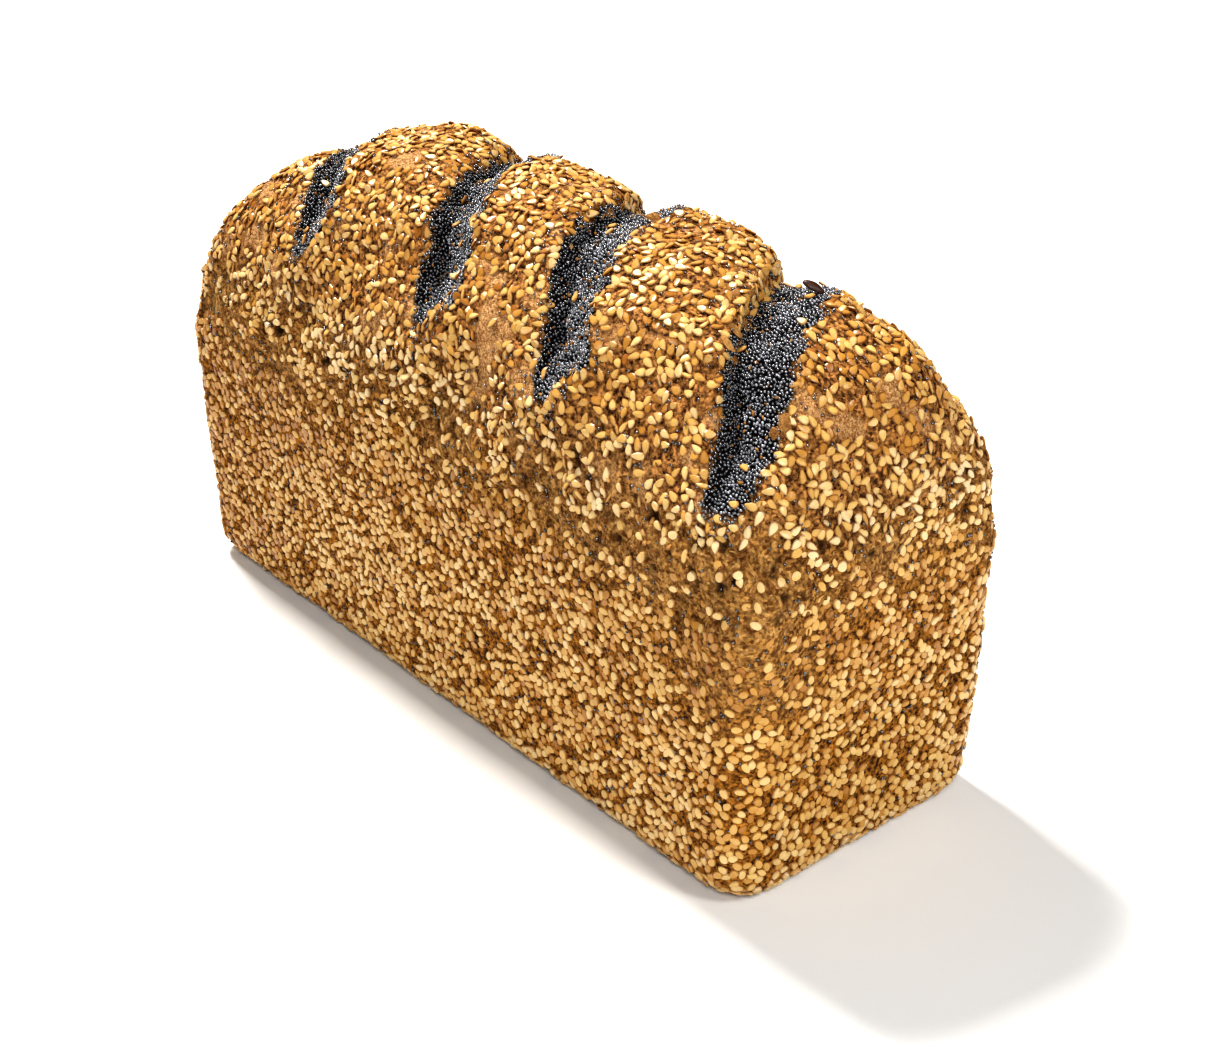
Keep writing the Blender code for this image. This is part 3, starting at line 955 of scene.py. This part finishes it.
# How much the poppy seeds under a lip are darkened as painted shade.
LIP_SHADE_DARKENING = 0.75
LIP_OVERHANG = 0.002
BED_MARGIN = 0.002
LAYER_CLOUD_SIZE = 0.004
LAYER_UNEVEN = 0.6
LOW_LAYER = (13.0, 0.86, 0.00022, 0.02, 61)
HIGH_LAYER = (7.0, 1.0, 0.00075, 0.45, 64)
LAYER_SEEDS = (67, 68)


def lip_painted_shade(place):
    """1 close to a slash's torn wall, where the seeds are darkened as painted shade from the lip above."""
    nearest = np.zeros(len(place))
    for index in range(len(SLASH_RIDGE_X)):
        past_wall, width, _ = slash_frame(place, index)
        away = np.where(past_wall > -LIP_OVERHANG, np.abs(past_wall), width)
        nearest = np.maximum(nearest, 1.0 - smooth_step(away / (LIP_SHADE * width)))
    return nearest


def lay_poppy(name, place, normal, seed, brightest):
    draw = np.random.default_rng(seed)
    count = len(place)
    scale = varied(draw, count, POPPY_SIDES, SIZE_SPREAD)
    frames = copy_frames(normal, random_axes(normal, draw), POPPY_TILT, draw)
    # Seeds close to the torn wall are darkened as painted shade from the lip.
    tone = brightest * draw.random(count) * (1.0 - LIP_SHADE_DARKENING * lip_painted_shade(place))
    return join_copies(name, poppy_seed, place, frames, scale, tone, np.zeros(count))


def bed_layer(per_square_mm, gap, rise, lost, seed):
    """One layer of places on the slashes' floors."""
    draw = np.random.default_rng(seed)
    place, normal = draw_places(per_square_mm, seed + 1, lambda point: in_bed(point, BED_MARGIN))
    place, normal = only(in_bed(place), place, normal)
    order = keep_apart(place, normal, POPPY_SIZE * gap, 0.0)
    place, normal = only(order, place, normal)
    uneven = 1.0 + LAYER_UNEVEN * cloud(place, LAYER_CLOUD_SIZE, seed + 2)
    place, normal = only(draw.random(len(place)) > lost * uneven, place, normal)
    return place + normal * rise, normal


poppy_floor = lay_poppy("poppy_floor", *bed_layer(*LOW_LAYER), LAYER_SEEDS[0], 1.0)
poppy_top = lay_poppy("poppy_top", *bed_layer(*HIGH_LAYER), LAYER_SEEDS[1], 1.0)

# %% [markdown]
# The seeds that rolled out are likeliest close to a slash, and a few gathered
# in patches above the tin's rim. Those that would lie on a sesame seed fell off.

# %% Scatter stray poppy seeds
STRAY_START = 71
STRAY_DRAWS = 0.9
STRAY_CHANCE = 0.045
STRAY_NEAR_BED = 0.55
STRAY_REACH = 0.0022
STRAY_HEIGHTS = (0.004, 0.07, 0.09)
STRAY_IN_PATCH = 0.25
STRAY_CLOUD = (0.004, 73)
STRAY_PATCH = (0.9, 0.3)
STRAY_CLEARANCE = 0.0010
STRAY_RISE = 0.0003
FAR_OFF = 1.0


def bed_distance(place):
    """How far a place is from the nearest slash floor."""
    nearest = np.full(len(place), FAR_OFF)
    for index in range(len(SLASH_RIDGE_X)):
        past_wall, width, _ = slash_frame(place, index)
        low_end = np.maximum(SLASH_END_HEIGHT[index] - place[:, 2], 0.0)
        away = np.maximum(np.maximum(-past_wall, past_wall - width), 0.0)
        nearest = np.minimum(nearest, np.hypot(away, low_end))
    return nearest


draw = np.random.default_rng(STRAY_START)
place, normal = draw_places(STRAY_DRAWS, STRAY_START + 1)
lowest, patch_foot, bed_foot = STRAY_HEIGHTS
near_bed = np.exp(-bed_distance(place) / STRAY_REACH) * (place[:, 2] > bed_foot)
patch = step_over(cloud(place, *STRAY_CLOUD), *STRAY_PATCH) * (place[:, 2] > patch_foot)
chance = STRAY_CHANCE + STRAY_NEAR_BED * near_bed + STRAY_IN_PATCH * patch
chance = np.where(place[:, 2] < lowest, 0.0, chance)
place, normal = only((draw.random(len(place)) < chance) & ~in_bed(place), place, normal)
seed_tree = point_tree(sesame["place"])
clear = np.array([seed_tree.find(point)[2] > STRAY_CLEARANCE for point in place])
place, normal = only(clear, place, normal)
poppy_strays = lay_poppy("poppy_strays", place + normal * STRAY_RISE, normal, STRAY_START + 3, 0.0)

# %% [markdown]
# A few sesame seeds fell onto the poppy beds, where they lie pale and whole,
# and the torn lips shed orange crumbs between the poppy seeds.

# %% Strew strays and crumbs on the beds
BED_DRAWS = 2.0
BED_SEARCH = -0.0010
INSIDE_BED = -0.0012
FALLEN_START = 81
FALLEN_SEEDS = (70, 82, 0.0042)
FALLEN_SPREAD = 0.08
FALLEN_TOAST = (0.08, 0.2)
FALLEN_RISE = 0.0013
FALLEN_TILT = 0.25
NEAREST_SLASH = 3
NEAREST_CHANCE = 0.75
OTHER_CHANCE = 0.33
CRUMBS = (300, 84, 0.0015)
CRUMB_SIZE = (0.0011, 0.0007, 0.0006)
CRUMB_RISE = 0.0007
CRUMB_TILT = 0.8
CRUMB_SPREAD = 0.30


def bed_picks(count, seed, apart):
    """A few places on the beds, well apart."""
    place, normal = draw_places(BED_DRAWS, seed, lambda point: in_bed(point, BED_SEARCH))
    place, normal = only(in_bed(place, INSIDE_BED), place, normal)
    order = keep_apart(place, normal, apart, 0.0)[:count]
    return only(order, place, normal)


def strew(name, shape, place, normal, rise, tilt, size, spread, draw, finish):
    """Join copies that lie any way round, at one rise, each with a tone and a toast."""
    count = len(place)
    frames = copy_frames(normal, random_axes(normal, draw), tilt, draw)
    scale = varied(draw, count, size, spread)
    return join_copies(name, shape, place + normal * rise, frames, scale, *finish(draw, count))


def plain_finish(draw, count):
    return draw.random(count), np.zeros(count)


def pale_finish(draw, count):
    return draw.random(count), FALLEN_TOAST[0] + FALLEN_TOAST[1] * draw.random(count)


draw = np.random.default_rng(FALLEN_START)
place, normal = bed_picks(*FALLEN_SEEDS)
in_nearest = slash_frame(place, NEAREST_SLASH)[0] > -LIP_OVERHANG
kept = draw.random(len(place)) < np.where(in_nearest, NEAREST_CHANCE, OTHER_CHANCE)
place, normal = only(kept, place, normal)
sesame_strays = strew("sesame_strays", plump_seed, place, normal, FALLEN_RISE, FALLEN_TILT,
                      PLUMP_SIZE, FALLEN_SPREAD, draw, pale_finish)
crumbs = strew("crumbs", poppy_seed, *bed_picks(*CRUMBS), CRUMB_RISE, CRUMB_TILT,
               CRUMB_SIZE, CRUMB_SPREAD, draw, plain_finish)

# %% [markdown]
# Where the crown swelled over the tin's rim, and along the lips of the slashes,
# the skin tore into small ridges. Such a chip is a cube that is subdivided with
# a random offset, so that no two of its faces match, and a flat shading keeps
# it sharp. The few larger lumps, such as the plates on the nearest slash's torn
# wall and the point at the top of the next one, are put where the picture shows
# them: a ray through that pixel finds the crust, and the lump sits on it.

# %% Tear the crust
CHIP_SIZE = (0.0020, 0.0008, 0.0008)
CHIP_SPREAD = 0.30
CHIP_RISE = 0.0001
CHIP_TILT = 0.35
CHIP_DRAWS = 0.25
CHIPS_ABOVE = 0.06
CHIP_CLOUD = (0.008, 93)
CHIP_IN_CRAGS = (0.55, 0.7, 0.6)
CHIP_NEAR_BED = (0.8, 0.0015, 0.09)
CHIP_IN_BED = -0.0008
CHIP_START = 91
CHIP_SMOOTHNESS = 0.7
CHIP_FORM = (1, 0.9, 5)
LUMP_FORM = (4, 3.0, 8)
LUMP_RISE = 0.2
LUMP_TILT = 0.25
TORN_LUMPS = (((785, 425), (0.0052, 0.0030, 0.0022)), ((776, 434), (0.0030, 0.0024, 0.0018)),
              ((727, 344), (0.0050, 0.0030, 0.0010)), ((735, 330), (0.0044, 0.0026, 0.0010)),
              ((750, 296), (0.0050, 0.0024, 0.0010)), ((743, 312), (0.0040, 0.0024, 0.0010)),
              ((655, 222), (0.0030, 0.0020, 0.0036)), ((650, 221), (0.0026, 0.0018, 0.0028)),
              ((745, 524), (0.0026, 0.0012, 0.0010)), ((762, 506), (0.0026, 0.0014, 0.0010)),
              ((393, 372), (0.0034, 0.0016, 0.0014)), ((412, 347), (0.0030, 0.0018, 0.0014)))


def model_chip(name, cuts, rough, seed):
    """A torn bit of crust with rough faces, one unit long, wide and high."""
    piece = add_object(bpy.ops.mesh.primitive_cube_add, name, size=1.0)
    edit(piece, "FACE")
    bpy.ops.mesh.select_all(action="SELECT")
    bpy.ops.mesh.subdivide(number_cuts=cuts, smoothness=CHIP_SMOOTHNESS, fractal=rough, seed=seed)
    bpy.ops.mesh.quads_convert_to_tris()
    bpy.ops.object.mode_set(mode="OBJECT")
    places = read_points(piece)
    places -= (places.min(axis=0) + places.max(axis=0)) / 2
    write_points(piece, places / np.ptp(places, axis=0))
    return piece


chip = take_shape(model_chip("chip", *CHIP_FORM), False)
lump = take_shape(model_chip("lump", *LUMP_FORM), False)
crust_tree = tree_of(crust)

draw = np.random.default_rng(CHIP_START)
place, normal = draw_places(CHIP_DRAWS, CHIP_START + 1, lambda point: point[:, 2] > CHIPS_ABOVE)
share, level, uneven = CHIP_IN_CRAGS
chance = share * bump_over(place, CRAG_HEIGHT, CRAG_REACH) * (level + uneven * cloud(place, *CHIP_CLOUD))
share, reach, lowest = CHIP_NEAR_BED
chance += share * np.exp(-bed_distance(place) / reach) * (place[:, 2] > lowest)
kept = (draw.random(len(place)) < chance) & ~in_bed(place, CHIP_IN_BED)
torn_chips = strew("torn_chips", chip, *only(kept, place, normal), CHIP_RISE, CHIP_TILT,
                   CHIP_SIZE, CHIP_SPREAD, draw, plain_finish)

found = [crust_at(pixel) for pixel, _ in TORN_LUMPS]
place = np.array([tuple(point) for point, _ in found])
normal = np.array([tuple(direction) for _, direction in found])
scale = np.array([size for _, size in TORN_LUMPS])
count = len(place)
frames = copy_frames(normal, random_axes(normal, draw), LUMP_TILT, draw)
torn_lumps = join_copies("torn_lumps", lump, place + normal * scale[:, 2:] * LUMP_RISE, frames, scale,
                         draw.uniform(0.5, 1.0, count), np.zeros(count))

# %% [markdown]
# At the top of the nearest slash a flake of burnt skin has curled up. It is a
# small grid that is cupped, drawn to a point at both ends and given a thickness.

# %% Curl a burnt flake
FLAKE_PIXEL = (814, 296)
FLAKE_LENGTH = 0.0054
FLAKE_WIDTH = 0.0028
FLAKE_DEPTH = 0.0011
FLAKE_THICKNESS = 0.0004
FLAKE_RISE = 0.0021
FLAKE_DIP = 0.55
FLAKE_GRID = (12, 8)
FLAKE_TAPER = (1.9, 0.02)
FLAKE_CUP = 0.9
FLAKE_UNEVEN = 0.10
FLAKE_CLOUD = (0.3, 95)


def curl_flake():
    """A thin cupped hull, pointed at both ends, that leans on the crust at the silhouette."""
    piece = add_object(bpy.ops.mesh.primitive_grid_add, "burnt_flake",
                       x_subdivisions=FLAKE_GRID[0], y_subdivisions=FLAKE_GRID[1], size=1.0)
    places = read_points(piece)
    reach, least = FLAKE_TAPER
    taper = np.sqrt(np.clip(1.0 - (reach * places[:, 0]) ** 2, least, 1.0))
    turn = places[:, 1] * math.pi * FLAKE_CUP
    uneven = 1.0 + FLAKE_UNEVEN * cloud(places, *FLAKE_CLOUD)
    cupped = np.stack((places[:, 0] * FLAKE_LENGTH, np.sin(turn) * taper * FLAKE_WIDTH / 2,
                       np.cos(turn) * taper * FLAKE_DEPTH * uneven), axis=1)
    along = (view_right - view_up * FLAKE_DIP).normalized()
    facing = (view_back + view_up).normalized()
    facing = (facing - along * along.dot(facing)).normalized()
    aside = facing.cross(along)
    axes = np.array([tuple(direction) for direction in (along, aside, facing)])
    place, normal = crust_at(FLAKE_PIXEL)
    write_points(piece, cupped @ axes + np.array(tuple(place + normal * FLAKE_RISE)))
    thicken = piece.modifiers.new("thickness", "SOLIDIFY")
    thicken.thickness = FLAKE_THICKNESS
    bpy.ops.object.modifier_apply(modifier="thickness")
    bpy.ops.object.shade_smooth()
    return piece


burnt_flake = curl_flake()
print("Flake has", len(burnt_flake.data.polygons), "faces")

# %% [markdown]
# ## Colours and finishes
#
# The crust is orange-brown where the tin covered it and a paler, dusty tan on
# the crown, mottled everywhere, and nearly black under the poppy seeds, partly
# their own dark colour and partly painted shade in the gaps between them. Its
# pits and holes are painted dark as shade. The masks for these places are worked
# out once and stored on the crust's points, where the material reads them as
# attributes.

# %% Store the crust's masks
BED_OVERLAP = 0.0002
BARE_MASK = (0.2, 0.5)
# How the larger holes enter the mask of painted shade.
HOLE_SHADE_MASK = (1.6, 0.2)

places = read_points(crust)
crown_mask = crown_of(places)
# The pit mask marks where the pits and holes are darkened as painted shade.
masks = {"bed": in_bed(places, BED_OVERLAP).astype(float),
         "crown": crown_mask,
         "bare": crown_mask * step_over(-drift_of(places), *BARE_MASK),
         "thin": thin_band(places),
         "pit_shade": np.maximum(pits(places), smooth_step(HOLE_SHADE_MASK[0] * holes(places) - HOLE_SHADE_MASK[1]))}
for label, values in masks.items():
    layer = crust.data.attributes.new(label, "FLOAT", "POINT")
    layer.data.foreach_set("value", np.clip(values, 0.0, 1.0))
    print("Mean of the mask", label + ":", round(float(values.mean()), 3))

# %% [markdown]
# Grain that comes back in more than one material is a node group, built once:
# here a mottling of sharp cells the size of a grain of sand, each with its own
# tone, over softer and larger clouds of noise. It gives a mask from 0 to 1.

# %% Build the mottling group
MOTTLING_INPUTS = (("Fine Scale", 2500.0), ("Coarse Scale", 500.0), ("Coarse Share", 0.4))
NOISE_DETAIL = 4.0
MOTTLING_RANGE = (0.28, 0.72)


def add_node(tree, kind, **settings):
    node = tree.nodes.new(kind)
    for name, value in settings.items():
        setattr(node, name, value)
    return node


def feed(tree, value, socket):
    """Link an output to a socket, or set the socket to a number or a colour."""
    if isinstance(value, bpy.types.NodeSocket):
        tree.links.new(value, socket)
    else:
        socket.default_value = (*value, 1.0) if isinstance(value, tuple) else value


def build_mottling():
    """Small toned cells and coarse noise on object coordinates, blended into one mask."""
    group = bpy.data.node_groups.new("mottling", "ShaderNodeTree")
    for label, value in MOTTLING_INPUTS:
        socket = group.interface.new_socket(name=label, in_out="INPUT", socket_type="NodeSocketFloat")
        socket.default_value = value
    group.interface.new_socket(name="Mask", in_out="OUTPUT", socket_type="NodeSocketFloat")
    given = add_node(group, "NodeGroupInput")
    result = add_node(group, "NodeGroupOutput")
    where = add_node(group, "ShaderNodeTexCoord")
    fine = add_node(group, "ShaderNodeTexVoronoi")
    tone = add_node(group, "ShaderNodeSeparateColor")
    coarse = add_node(group, "ShaderNodeTexNoise")
    blend = add_node(group, "ShaderNodeMix", data_type="FLOAT")
    spread = add_node(group, "ShaderNodeMapRange", interpolation_type="SMOOTHSTEP")
    for value, socket in ((NOISE_DETAIL, coarse.inputs["Detail"]),
                          (MOTTLING_RANGE[0], spread.inputs["From Min"]),
                          (MOTTLING_RANGE[1], spread.inputs["From Max"]),
                          (where.outputs["Object"], fine.inputs["Vector"]),
                          (where.outputs["Object"], coarse.inputs["Vector"]),
                          (given.outputs["Fine Scale"], fine.inputs["Scale"]),
                          (given.outputs["Coarse Scale"], coarse.inputs["Scale"]),
                          (given.outputs["Coarse Share"], blend.inputs["Factor"]),
                          (fine.outputs["Color"], tone.inputs["Color"]),
                          (tone.outputs["Red"], blend.inputs["A"]),
                          (coarse.outputs["Fac"], blend.inputs["B"]),
                          (blend.outputs["Result"], spread.inputs["Value"]),
                          (spread.outputs["Result"], result.inputs["Mask"])):
        feed(group, value, socket)
    return group


mottling = build_mottling()
print("Mottling group inputs:", [item.name for item in mottling.interface.items_tree])

# %% [markdown]
# Each material mixes a few colours by masks, and ends in one Principled shader
# with a slight bump. These helpers add the nodes for such steps.

# %% Helpers for the materials
MIX_INPUTS = (0, 6, 7)
MIX_RESULT = 2


def new_material(name, roughness, gloss):
    """A material with only its Principled shader set up."""
    material = bpy.data.materials.new(name)
    material.use_nodes = True
    shader = material.node_tree.nodes["Principled BSDF"]
    shader.inputs["Roughness"].default_value = roughness
    shader.inputs["Specular IOR Level"].default_value = gloss
    return material, material.node_tree, shader


def place_mottling(tree, *amounts):
    """The mottling's mask, with its own scales and share."""
    node = add_node(tree, "ShaderNodeGroup", node_tree=mottling)
    for (label, _), amount in zip(MOTTLING_INPUTS, amounts):
        node.inputs[label].default_value = amount
    return node.outputs["Mask"]


def mix_colour(tree, factor, first, second, blend_type="MIX"):
    """Mix two colours, each a fixed colour or an output, by an output."""
    node = add_node(tree, "ShaderNodeMix", data_type="RGBA", blend_type=blend_type)
    for value, number in zip((factor, first, second), MIX_INPUTS):
        feed(tree, value, node.inputs[number])
    return node.outputs[MIX_RESULT]


def calculate(tree, operation, first, second, clamp=False):
    """One step of arithmetic on outputs or numbers."""
    node = add_node(tree, "ShaderNodeMath", operation=operation, use_clamp=clamp)
    feed(tree, first, node.inputs[0])
    feed(tree, second, node.inputs[1])
    return node.outputs[0]


def times(tree, first, second):
    return calculate(tree, "MULTIPLY", first, second)


def read_attribute(tree, label):
    return add_node(tree, "ShaderNodeAttribute", attribute_name=label).outputs["Fac"]


def finish_shader(tree, shader, colour, height, strength, distance):
    """Give a shader its colour and its small relief."""
    node = add_node(tree, "ShaderNodeBump")
    for value, socket in ((colour, shader.inputs["Base Color"]), (strength, node.inputs["Strength"]),
                          (distance, node.inputs["Distance"]), (height, node.inputs["Height"]),
                          (node.outputs["Normal"], shader.inputs["Normal"])):
        feed(tree, value, socket)


print("Mottling is placed with", [label for label, _ in MOTTLING_INPUTS])

# %% [markdown]
# The baked crust: two mottled browns, mixed by the crown mask. The bare patches
# of the crown are dusted with flour, so they go towards a pinkish tan, and the thin
# strip above the tin's rim is paler and dusty. The pits and holes are painted dark
# as shade, and the beds are nearly black, partly painted shade between the poppy
# seeds.

# %% Crust material
SIDE_DARK = (0.026, 0.005, 0.001)
SIDE_LIGHT = (0.50, 0.22, 0.036)
CROWN_DARK = (0.022, 0.004, 0.001)
CROWN_LIGHT = (0.56, 0.27, 0.085)
BARE_DARK = (0.32, 0.145, 0.050)
BARE_LIGHT = (0.64, 0.39, 0.18)
THIN_DARK = (0.15, 0.058, 0.012)
THIN_LIGHT = (0.56, 0.31, 0.095)
DUST_COLOUR = (0.66, 0.50, 0.28)
# Painted shade: the dark colour of the pits and holes.
PIT_SHADE_COLOUR = (0.020, 0.006, 0.002)
# Nearly black under the poppy seeds: partly their own colour, partly painted shade in the gaps.
BED_SEEDS_AND_SHADE = (0.006, 0.004, 0.004)
CRUST_FINISH = (0.78, 0.12)
SAND_GRAIN = (2800.0, 420.0, 0.50)
BLOTS = (1500.0, 700.0, 0.75)
DUST_PATCHES = (1100.0, 240.0, 0.6)
DUST_SHARE = 0.35
THIN_SHOWING = 0.8
CRUST_BUMP = (1.0, 0.0009)


def crust_material():
    material, tree, shader = new_material("seeded_crust", *CRUST_FINISH)
    grain = place_mottling(tree, *SAND_GRAIN)
    blots = place_mottling(tree, *BLOTS)
    sides = mix_colour(tree, blots, SIDE_DARK, SIDE_LIGHT)
    crown = mix_colour(tree, blots, CROWN_DARK, CROWN_LIGHT)
    bare = mix_colour(tree, grain, BARE_DARK, BARE_LIGHT)
    thin = mix_colour(tree, blots, THIN_DARK, THIN_LIGHT)
    dust = times(tree, times(tree, place_mottling(tree, *DUST_PATCHES), DUST_SHARE), blots)
    thin = mix_colour(tree, dust, thin, DUST_COLOUR)
    colour = mix_colour(tree, read_attribute(tree, "crown"), sides, crown)
    colour = mix_colour(tree, read_attribute(tree, "bare"), colour, bare)
    colour = mix_colour(tree, times(tree, read_attribute(tree, "thin"), THIN_SHOWING), colour, thin)
    # Pits and holes are darkened as painted shade.
    colour = mix_colour(tree, read_attribute(tree, "pit_shade"), colour, PIT_SHADE_COLOUR)
    # The beds go nearly black, partly painted shade between the poppy seeds.
    colour = mix_colour(tree, read_attribute(tree, "bed"), colour, BED_SEEDS_AND_SHADE)
    finish_shader(tree, shader, colour, blots, *CRUST_BUMP)
    return material


crust.data.materials.append(crust_material())

# %% [markdown]
# Sesame goes from ivory through gold to brown as it toasts. Each seed's own
# tone and its toasting, with painted shade towards the far end, are added up and
# read off a colour ramp. The rim and underside are darkened as painted shade
# where the seed meets the crust.

# %% Sesame material
SESAME_RAMP = ((0.0, (0.76, 0.59, 0.34)), (0.35, (0.66, 0.435, 0.155)),
               (0.65, (0.50, 0.255, 0.052)), (1.0, (0.25, 0.08, 0.010)))
# Painted shade, multiplied into the seeds' rims and undersides.
RIM_SHADE_TINT = (0.28, 0.11, 0.02)
SESAME_FINISH = (0.36, 0.45)
SEED_GRAIN = (1800.0, 600.0, 0.8)
TONE_SHARE = 0.42
GRAIN_SHARE = 0.10
RAMP_START = -0.15
SEED_BUMP = (0.15, 0.0001)


def sesame_material():
    material, tree, shader = new_material("toasted_sesame", *SESAME_FINISH)
    tone = times(tree, read_attribute(tree, "tone"), TONE_SHARE)
    grain = place_mottling(tree, *SEED_GRAIN)
    toast_and_shade = calculate(tree, "ADD", read_attribute(tree, "toast_and_shade"), tone)
    toast_and_shade = calculate(tree, "ADD", toast_and_shade, RAMP_START)
    toast_and_shade = calculate(tree, "ADD", toast_and_shade, times(tree, grain, GRAIN_SHARE), clamp=True)
    ramp = add_node(tree, "ShaderNodeValToRGB")
    ramp.color_ramp.elements[0].color = (*SESAME_RAMP[0][1], 1.0)
    ramp.color_ramp.elements[1].color = (*SESAME_RAMP[-1][1], 1.0)
    for position, colour in SESAME_RAMP[1:-1]:
        ramp.color_ramp.elements.new(position).color = (*colour, 1.0)
    feed(tree, toast_and_shade, ramp.inputs["Fac"])
    # The rim and underside are darkened as painted shade.
    colour = mix_colour(tree, read_attribute(tree, "rim"), ramp.outputs["Color"], RIM_SHADE_TINT, "MULTIPLY")
    finish_shader(tree, shader, colour, grain, *SEED_BUMP)
    return material


sesame_finish = sesame_material()
for piece in (*sesame_pieces, sesame_strays):
    piece.data.materials.append(sesame_finish)

# %% [markdown]
# Poppy seeds are slate blue to almost black and a little shiny, so that each
# catches the light as a small glint. The crumbs are orange torn crust.

# %% Poppy and crumb materials
POPPY_DARK = (0.003, 0.002, 0.003)
POPPY_LIGHT = (0.44, 0.45, 0.50)
POPPY_BENDING = 1.8
CRUMB_DARK = (0.22, 0.09, 0.02)
CRUMB_LIGHT = (0.50, 0.27, 0.09)
TORN_DARK = (0.13, 0.045, 0.009)
TORN_LIGHT = (0.62, 0.36, 0.13)
BURNT_DARK = (0.030, 0.008, 0.003)
BURNT_LIGHT = (0.16, 0.055, 0.020)
POPPY_FINISH = (0.25, 1.0)
CRUMB_FINISH = (0.8, 0.12)
TORN_FINISH = (0.75, 0.12)
BURNT_FINISH = (0.45, 0.5)
TORN_GRAIN = (2600.0, 900.0, 0.5)
TONE_POWER = 2.6
TONE_PART = 0.75
TORN_BUMP = (0.3, 0.0002)


def toned_material(name, dark, light, roughness, gloss):
    """A finish whose copies run from a dark to a light colour, most of them dark."""
    material, tree, shader = new_material(name, roughness, gloss)
    grain = place_mottling(tree, *TORN_GRAIN)
    tone = calculate(tree, "POWER", read_attribute(tree, "tone"), TONE_POWER)
    blend = calculate(tree, "ADD", times(tree, tone, TONE_PART), times(tree, grain, 1.0 - TONE_PART))
    finish_shader(tree, shader, mix_colour(tree, blend, dark, light), grain, *TORN_BUMP)
    return material


poppy_finish = toned_material("poppy_seed", POPPY_DARK, POPPY_LIGHT, *POPPY_FINISH)
poppy_finish.node_tree.nodes["Principled BSDF"].inputs["IOR"].default_value = POPPY_BENDING
torn_finish = toned_material("torn_crust", TORN_DARK, TORN_LIGHT, *TORN_FINISH)
crumb_finish = toned_material("torn_crumb", CRUMB_DARK, CRUMB_LIGHT, *CRUMB_FINISH)
burnt_finish = toned_material("burnt_skin", BURNT_DARK, BURNT_LIGHT, *BURNT_FINISH)
for piece, finish in ((poppy_floor, poppy_finish), (poppy_top, poppy_finish), (poppy_strays, poppy_finish),
                      (crumbs, crumb_finish), (torn_chips, torn_finish), (torn_lumps, torn_finish),
                      (burnt_flake, burnt_finish)):
    piece.data.materials.append(finish)

# %% [markdown]
# ## Floor and light
#
# The loaf stands on a plain pale floor. The brightest light hangs high on the
# far left: it brightens the crown, grazes the long side and leaves short shadows
# under the seeds. A dimmer one stands in front of the long side, nearer to its
# right end, one faces the short end, and a faint pale sky fills the rest.

# %% Floor and light
FLOOR_SIZE = 8.0
FLOOR_HEIGHT = -0.0002
FLOOR_COLOUR = (0.84, 0.84, 0.83)
FLOOR_FINISH = (0.9, 0.2)
WHITE = (1.0, 1.0, 1.0)
LIGHT_AIM = Vector((0.0, 0.0, 0.06))
LIGHTS = (("key", (-0.61, 0.06, 1.14), 0.24, 21.5, (1.0, 0.98, 0.95)),
          ("fill_front", (0.62, -0.52, 0.66), 0.26, 4.5, WHITE),
          ("fill_end", (1.05, 0.20, 1.00), 0.30, 5.9, WHITE))
SKY_STRENGTH = 0.08

floor = add_object(bpy.ops.mesh.primitive_plane_add, "floor",
                   size=FLOOR_SIZE, location=(0.0, 0.0, FLOOR_HEIGHT))
floor_finish, floor_tree, floor_shader = new_material("pale_floor", *FLOOR_FINISH)
feed(floor_tree, FLOOR_COLOUR, floor_shader.inputs["Base Color"])
floor.data.materials.append(floor_finish)

for name, place, size, power, colour in LIGHTS:
    light = add_object(bpy.ops.object.light_add, name, type="AREA", location=place)
    light.rotation_euler = (LIGHT_AIM - Vector(place)).to_track_quat("-Z", "Y").to_euler()
    light.data.size = size
    light.data.energy = power
    light.data.color = colour

scene = bpy.context.scene
scene.world = bpy.data.worlds.new("pale_sky")
scene.world.use_nodes = True
sky = scene.world.node_tree.nodes["Background"]
feed(scene.world.node_tree, WHITE, sky.inputs["Color"])
feed(scene.world.node_tree, SKY_STRENGTH, sky.inputs["Strength"])
scene.view_settings.view_transform = "Standard"
scene.view_settings.look = "High Contrast"

# %% [markdown]
# ## Fastening the pieces
#
# Every piece moves with the loaf's one body, and the plain model of the loaf is
# hidden, so that the crust and the seeds stand in its place.

# %% Fasten the pieces and finish
loaf_pieces = [crust, *sesame_pieces, sesame_strays, poppy_floor, poppy_top, poppy_strays, crumbs,
               torn_chips, torn_lumps, burnt_flake]
for piece in loaf_pieces:
    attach(piece, "root")
    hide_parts("loaf")
